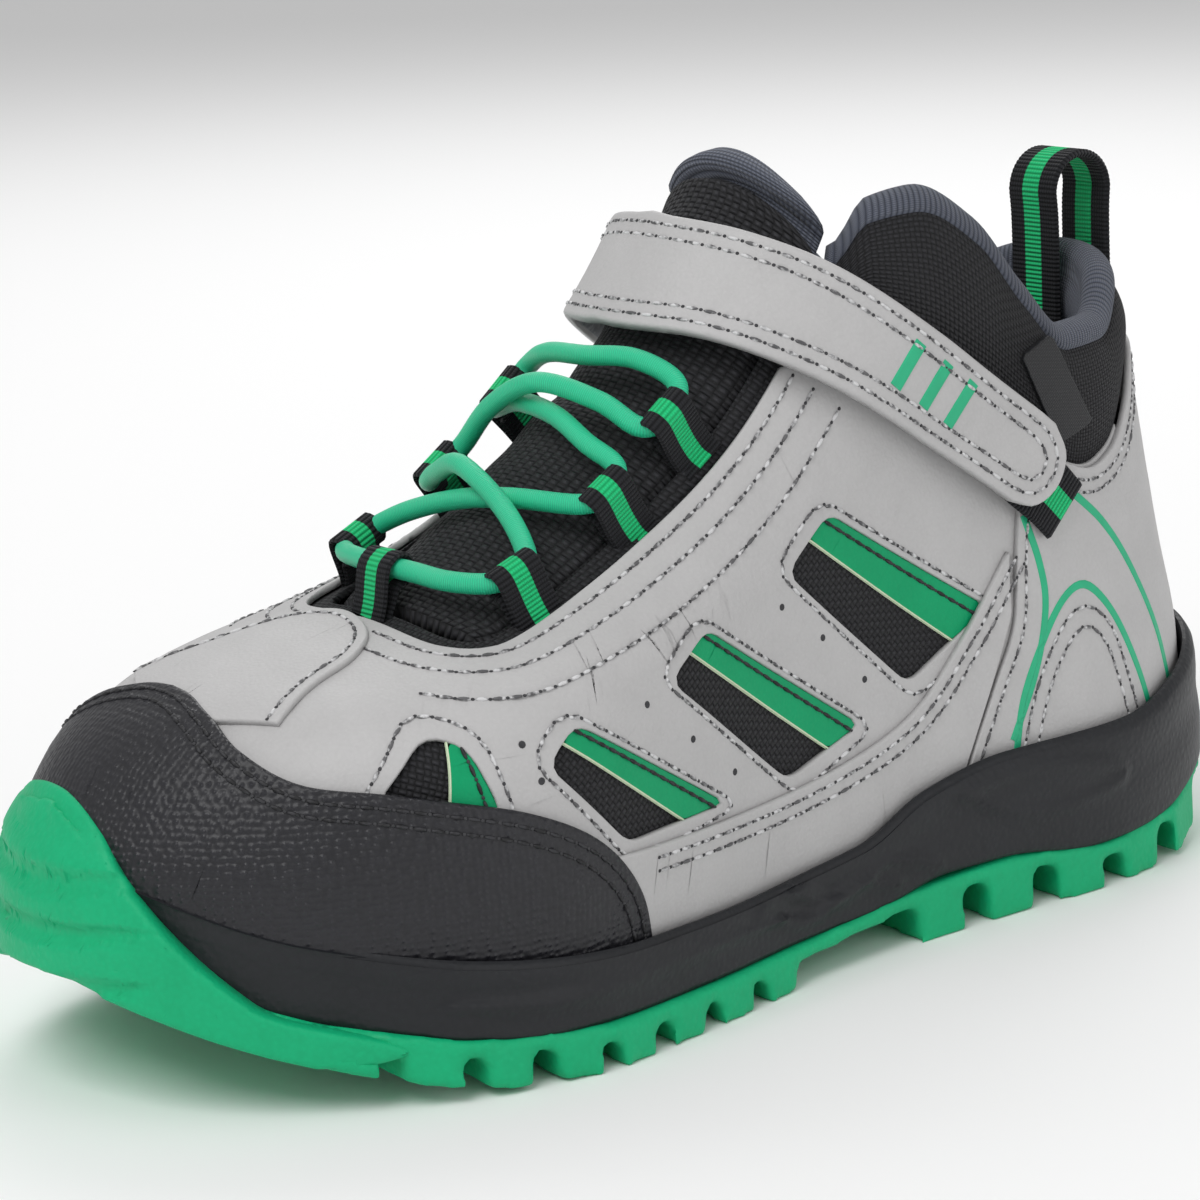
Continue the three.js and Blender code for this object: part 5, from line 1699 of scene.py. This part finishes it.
@dataclass
class Strap:
    """The ankle strap: leather, stitched all round, with its patch, tab and anchor."""

    low: float = 3.1
    high: float = 5.1
    fold_reach: float = 7.0

    def build(self) -> None:
        """Makes the strap and what is sewn to it."""
        peel = next(j for j in frame["joints"] if j["name"] == "strap_peel")
        forward = np.array([0.5, 0.7, -0.51])  # along the strap and outwards, so the inner end stays behind
        middle = np.array(peel["pos_m"])
        fold = ("strap", "strap_end", middle - forward * self.fold_reach * MM,
                middle + forward * self.fold_reach * MM)
        low, high = (
            joined(on_side(rounded(outer), Side.LATERAL), on_side(rounded(inner), Side.MEDIAL))
            for outer, inner in ((STRAP_LOW, STRAP_LOW_INNER), (STRAP_HIGH, STRAP_HIGH_INNER)))
        end = on_side(rounded(STRAP_END), Side.LATERAL)
        outline = joined(low[::-1], end, high)
        nodes = ("strap", "strap_end")
        Piece("ankle_strap", LEATHER, "grey_leather", "strap", nodes, fold=fold).make(
            Panel(Chart.WRAP, self.low, self.high, 0.5, 3.0).cut(outline))
        back = Panel(Chart.WRAP, self.low - 0.55, self.low + 0.1, 0.2, 3.0)
        inner = self._inner(low, end, high, 0.8)
        Piece("strap_backing", PILE, "hook_and_loop", "strap", fold=fold).make(back.cut(inner))
        rows = [(self._inner(low, end, high, inset), self.high + 0.05) for inset in (2.0, 4.4)]
        SEAM.sew(rows, Piece("strap_stitching", THREAD_GREY, "grey_leather", "strap", second=NEEDLE_HOLE_SHADOW,
                             fold=fold))
        bm = bmesh.new()
        for y in BAR_PLACES:
            drop = (y - BAR_PLACES[0]) * 0.72
            line = on_side([(y - 2.6, 96.4 - drop), (y + 3.4, 103.2 - drop)], Side.LATERAL)
            bar = strip_on_form(line, 2.6, self.high - 0.2, self.high + 0.12)
            made = bpy.data.meshes.new("bar")
            bar.to_mesh(made)
            bar.free()
            bm.from_mesh(made)
            bpy.data.meshes.remove(made)
        Piece("strap_printed_bars", PRINT, "green_trim", "strap", fold=fold).make(bm)
        self._pull_tab()
        anchor = on_side(ANCHOR, Side.MEDIAL)
        Piece("strap_anchor_leather", LEATHER, "grey_leather", stands_for=("strap_anchor",)).make(
            Panel(Chart.HEEL, 0.2, self.high, 0.6, 3.0).cut(anchor))
        patch = on_side(soft_corners(PATCH, 1.5), Side.LATERAL)
        for node, offset, body in (("loop_patch", 0.2, "boot"), ("hook_patch", 1.4, "strap_end")):
            Piece(node + "_pile", PILE, "hook_and_loop", body, (node,)).make(
                Panel(Chart.WRAP, offset, offset + 1.1, 0.3, 2.5).cut(patch))

    def _inner(self, low: Points, end: Points, high: Points, inset: float) -> Points:
        """The strap's edge moved inwards, from its inner low end round to its inner high end."""
        path = resample(joined(low[::-1], end[1:], high[1:]), 1.5)
        soft = path.copy()
        for _ in range(3):
            soft[1:-1] = (soft[:-2] + 2 * soft[1:-1] + soft[2:]) / 4
        return beside(soft, inset)

    def _pull_tab(self) -> None:
        """The webbing tab that sticks out under the strap's end."""
        line = on_side([(50, 84.5), (56, 77.5), (62, 72.2), (65.5, 68.4)], Side.LATERAL)
        normal = FORM.normal(line)
        across = unit(np.cross(normal, tangents(line)))
        path = line + normal * 2.35
        Piece("pull_tab_webbing", WEBBING, "webbing", "strap_end", ("pull_tab",)).make(
            ribbon(path, across, 12.5, 1.1, 0.1, 0.8))


# ---------------------------------------------------------------- lace
LACE_ROUTE = (
    (0.4, -54, 0), (7, -53.5, 0), (14, -52.5, 0.2), (19.5, -49, 0.1), (21, -45, 0), (19.5, -41, 0.1),
    (11, -37.3, 1.7), (0, -34.5, 4.3), (-9, -33.6, 1.5), (-14.2, -32.5, 0.1), (-16, -28.5, 0),
    (-14.2, -24.5, 0.1), (-7, -21.8, 2.4), (2, -19, 4.4), (11, -16.6, 1.5), (17.3, -15, 0.1), (19, -11, 0),
    (17.5, -7, 0.1), (11, -8.8, 0.4), (3, -11.8, 0.6), (-6, -11.5, 0.4), (-13.3, -10, 0.1), (-15, -14, 0),
    (-13.3, -18, 0.1), (-5, -19.8, 0), (5, -21, 0), (13, -21.8, 0), (18.5, -21.3, 0.1), (20, -25, 0),
    (18.5, -29, 0.1), (9, -34.5, 0), (0, -37.8, 0), (-9, -40.5, 0), (-15.5, -43, 0.1), (-17, -47, 0),
    (-15, -51, 0.1), (-7, -53.5, 0), (-0.4, -54, 0),
)
LACE_LOOPS = (
    ("lateral_1", 4, (1, 0, 0)), ("lateral_2", 28, (1, 0, 0)), ("lateral_3", 16, (1, 0, 0)),
    ("medial_1", 34, (-1, 0, 0)), ("medial_2", 10, (-1, 0, 0)), ("medial_3", 22, (-1, 0, 0)),
    ("base", 0, (0, -1, 0)),
)


@dataclass
class Lacing:
    """The elastic lace and the webbing loops that hold it."""

    diameter: float = 3.5
    lift: float = 4.5
    loop_width: float = 9.0
    base_width: float = 8.0
    loop_thick: float = 0.8

    def lace(self) -> None:
        """Makes the elastic cord."""
        route = np.array(LACE_ROUTE)
        start = np.stack([route[:, 0], route[:, 1], SPINE(route[:, 1])], 1)
        on_form = FORM.cast(start, np.broadcast_to(np.eye(3)[2], start.shape))
        points = on_form + FORM.normal(on_form) * (self.lift + route[:, 2:])
        self.points = points
        line = resample(rounded(points), 0.2)
        self.line = line
        run = np.linspace(0, 1, len(line))
        forward = tangents(line)
        normal = FORM.normal(FORM.settle(line))
        side = unit(np.cross(normal, forward))
        up = np.cross(forward, side)
        length = np.linalg.norm(np.diff(line, axis=0), axis=1).sum()

        def place(s: Points, t: Points) -> Points:
            """Points on the cord, with the fine waist of its winding."""
            turn = 2 * np.pi * t
            r = (self.diameter / 2) * (0.99 + 0.01 * np.cos(2 * np.pi * s * length / 0.7))
            middle, out, over = (looked_up(table, run, s) for table in (line, side, up))
            return middle + (out * np.cos(turn)[:, None] + over * np.sin(turn)[:, None]) * r[:, None]

        def pattern(s: Points, t: Points) -> Points:
            """The winding, in millimetres round and along the cord."""
            return np.stack([t * np.pi * self.diameter, s * length], 1)

        cord = Piece("elastic_lace_cord", ELASTIC, "elastic_cord", stands_for=("elastic_lace",)).make(
            lofted(int(length / 0.3), 16, place, pattern), 180.0)

    def loops(self) -> None:
        """Makes the webbing loops round the lace."""
        for name, index, way in LACE_LOOPS:
            place = self.points[index]
            along = tangents(self.points)[index]
            normal = FORM.normal(FORM.settle(place[None]))[0]
            normal = normal - along * (normal @ along)
            normal /= np.linalg.norm(normal)
            outwards = np.cross(along, normal)
            if outwards @ np.array(way, float) < 0:
                outwards = -outwards
            r = self.diameter / 2 + 0.25 + self.loop_thick / 2
            turn = np.linspace(np.pi / 2, 3 * np.pi / 2, 14)
            eye = np.stack([r * np.cos(turn), r * np.sin(turn)], 1)
            reach = 0.95 if name != "base" else 1.5
            upper = [(8.5 * reach, -7.3), (6.2 * reach, -6.8), (4.0 * reach, -3.8), (1.7 * reach, r - 1.0)]
            lower = [(1.3 * reach, -r), (3.2 * reach, -5.0), (6.0 * reach, -7.7), (8.5 * reach, -8.2)]
            flat = resample(rounded(np.concatenate([upper, eye, lower]), dense=8), 0.6)
            path = place + flat[:, :1] * outwards + flat[:, 1:] * normal
            width = self.base_width if name == "base" else self.loop_width
            across = np.broadcast_to(along, path.shape)
            Piece("lace_loop_webbing_" + name, WEBBING, "webbing", stands_for=("lace_loop_" + name,)).make(
                ribbon(path, across, width, self.loop_thick, 0.08, 0.8))


@dataclass
class HeelLoop:
    """The webbing loop at the top of the heel."""

    width: float = 12.0
    thick: float = 1.6

    def build(self) -> None:
        """Makes the loop in the space of its CAD node."""
        low, high = (np.array(c) / MM - PATTERN_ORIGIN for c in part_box("heel_loop"))
        x = (low[0] + high[0]) / 2
        front, back = low[1] + self.thick / 2, high[1] - self.thick / 2
        middle, r = (front + back) / 2, (back - front) / 2
        shoulder = high[2] - self.thick / 2 - r * 1.05
        turn = np.linspace(0, np.pi, 24)
        arch = np.stack([middle + r * 1.06 * np.cos(turn), shoulder + r * 1.05 * np.sin(turn)], 1)
        path = np.concatenate([[(back, low[2]), (back, shoulder - 6)], arch,
                               [(front, shoulder - 6), (front, low[2])]])
        path = resample(rounded(path, dense=10), 0.5)
        path = np.stack([np.full(len(path), x), path[:, 0], path[:, 1]], 1)
        across = np.broadcast_to(np.eye(3)[0], path.shape)
        Piece("heel_loop_webbing", WEBBING, "webbing", stands_for=("heel_loop",)).make(
            ribbon(path, across, self.width, self.thick - 0.4, 0.12, 0.8))


# ---------------------------------------------------------------- studio
@dataclass
class Studio:
    """Floor, light and the camera."""

    eye: tuple = (530.61, -423.85, 220.73)
    back: tuple = (0.75802, -0.61043, 0.22975)
    right: tuple = (0.63473, 0.77145, -0.04448)
    up: tuple = (-0.15009, 0.17955, 0.97223)
    lens: float = 121.5
    aside: float = 70 / 4050
    above: float = 6.7 / 4050

    def camera(self) -> None:
        """Makes the scene's camera."""
        data = bpy.data.cameras.new("camera")
        data.lens = self.lens
        data.sensor_width = 36
        data.clip_start, data.clip_end = 0.05, 20
        camera = bpy.data.objects.new("camera", data)
        right, up, back = (np.array(v) for v in (self.right, self.up, self.back))
        ahead = -back - right * self.aside - up * self.above
        ahead /= np.linalg.norm(ahead)
        right = np.cross(ahead, up)
        right /= np.linalg.norm(right)
        turn = Matrix([right, np.cross(right, ahead), -ahead]).transposed()
        place = Vector((np.array(self.eye) + PATTERN_ORIGIN) * MM)
        camera.matrix_world = Matrix.Translation(place) @ turn.to_4x4()
        bpy.context.scene.collection.objects.link(camera)
        bpy.context.scene.camera = camera

    def light(self) -> None:
        """Hangs the softboxes and lays the floor."""
        world = bpy.data.worlds.new("studio")
        bpy.context.scene.world = world
        world.use_nodes = True
        world.node_tree.nodes["Background"].inputs[0].default_value = (1, 1, 1, 1)
        world.node_tree.nodes["Background"].inputs[1].default_value = 0.5
        for name, place, size, power in (
            ("key", (0.25, -0.8, 1.15), 0.8, 8.6), ("fill", (1.3, 0.4, 0.6), 1.2, 3.6),
            ("rim", (-0.7, 0.7, 0.9), 0.8, 5.2),
        ):
            data = bpy.data.lights.new(name, "AREA")
            data.energy, data.size = power, size
            lamp = bpy.data.objects.new(name, data)
            lamp.location = place
            lamp.rotation_euler = Vector(place).to_track_quat("Z", "Y").to_euler()
            bpy.context.scene.collection.objects.link(lamp)
        bm = bmesh.new()
        bmesh.ops.create_grid(bm, x_segments=1, y_segments=1, size=4.0)
        mesh = bpy.data.meshes.new("floor")
        bm.to_mesh(mesh)
        bm.free()
        made = bpy.data.materials.new("studio_floor")
        nodes = Nodes(made)
        shader = nodes.add("BsdfPrincipled", {"Base Color": linear("FAFAFA"), "Roughness": 0.9})
        nodes.add("OutputMaterial", {0: shader.outputs[0]})
        mesh.materials.append(made)
        floor = bpy.data.objects.new("floor", mesh)
        bpy.context.scene.collection.objects.link(floor)
        bpy.context.scene.view_settings.view_transform = "Standard"


def dress_cad() -> None:
    """Gives each CAD node that stays the finish of its slot."""
    slots = {part["node"]: part["material_slot"] for part in frame["record"]["subparts"]}
    for name, node in frame["nodes"].items():
        finish = SLOT_FINISH[slots[name]]
        if node.material_slots:
            for place in node.material_slots:
                place.material = finish.material()
        else:
            node.data.materials.append(finish.material())


def main() -> None:
    """Builds the boot in order."""
    logging.basicConfig(level=logging.INFO, format="%(name)s: %(message)s")
    studio = Studio()
    studio.camera()
    lacing = Lacing()
    lacing.lace()
    lacing.loops()
    Sole().build()
    Upper().build()
    Collar().build()
    Tongue().build()
    Strap().build()
    HeelLoop().build()
    dress_cad()
    studio.light()


if __name__ == "__main__":
    main()
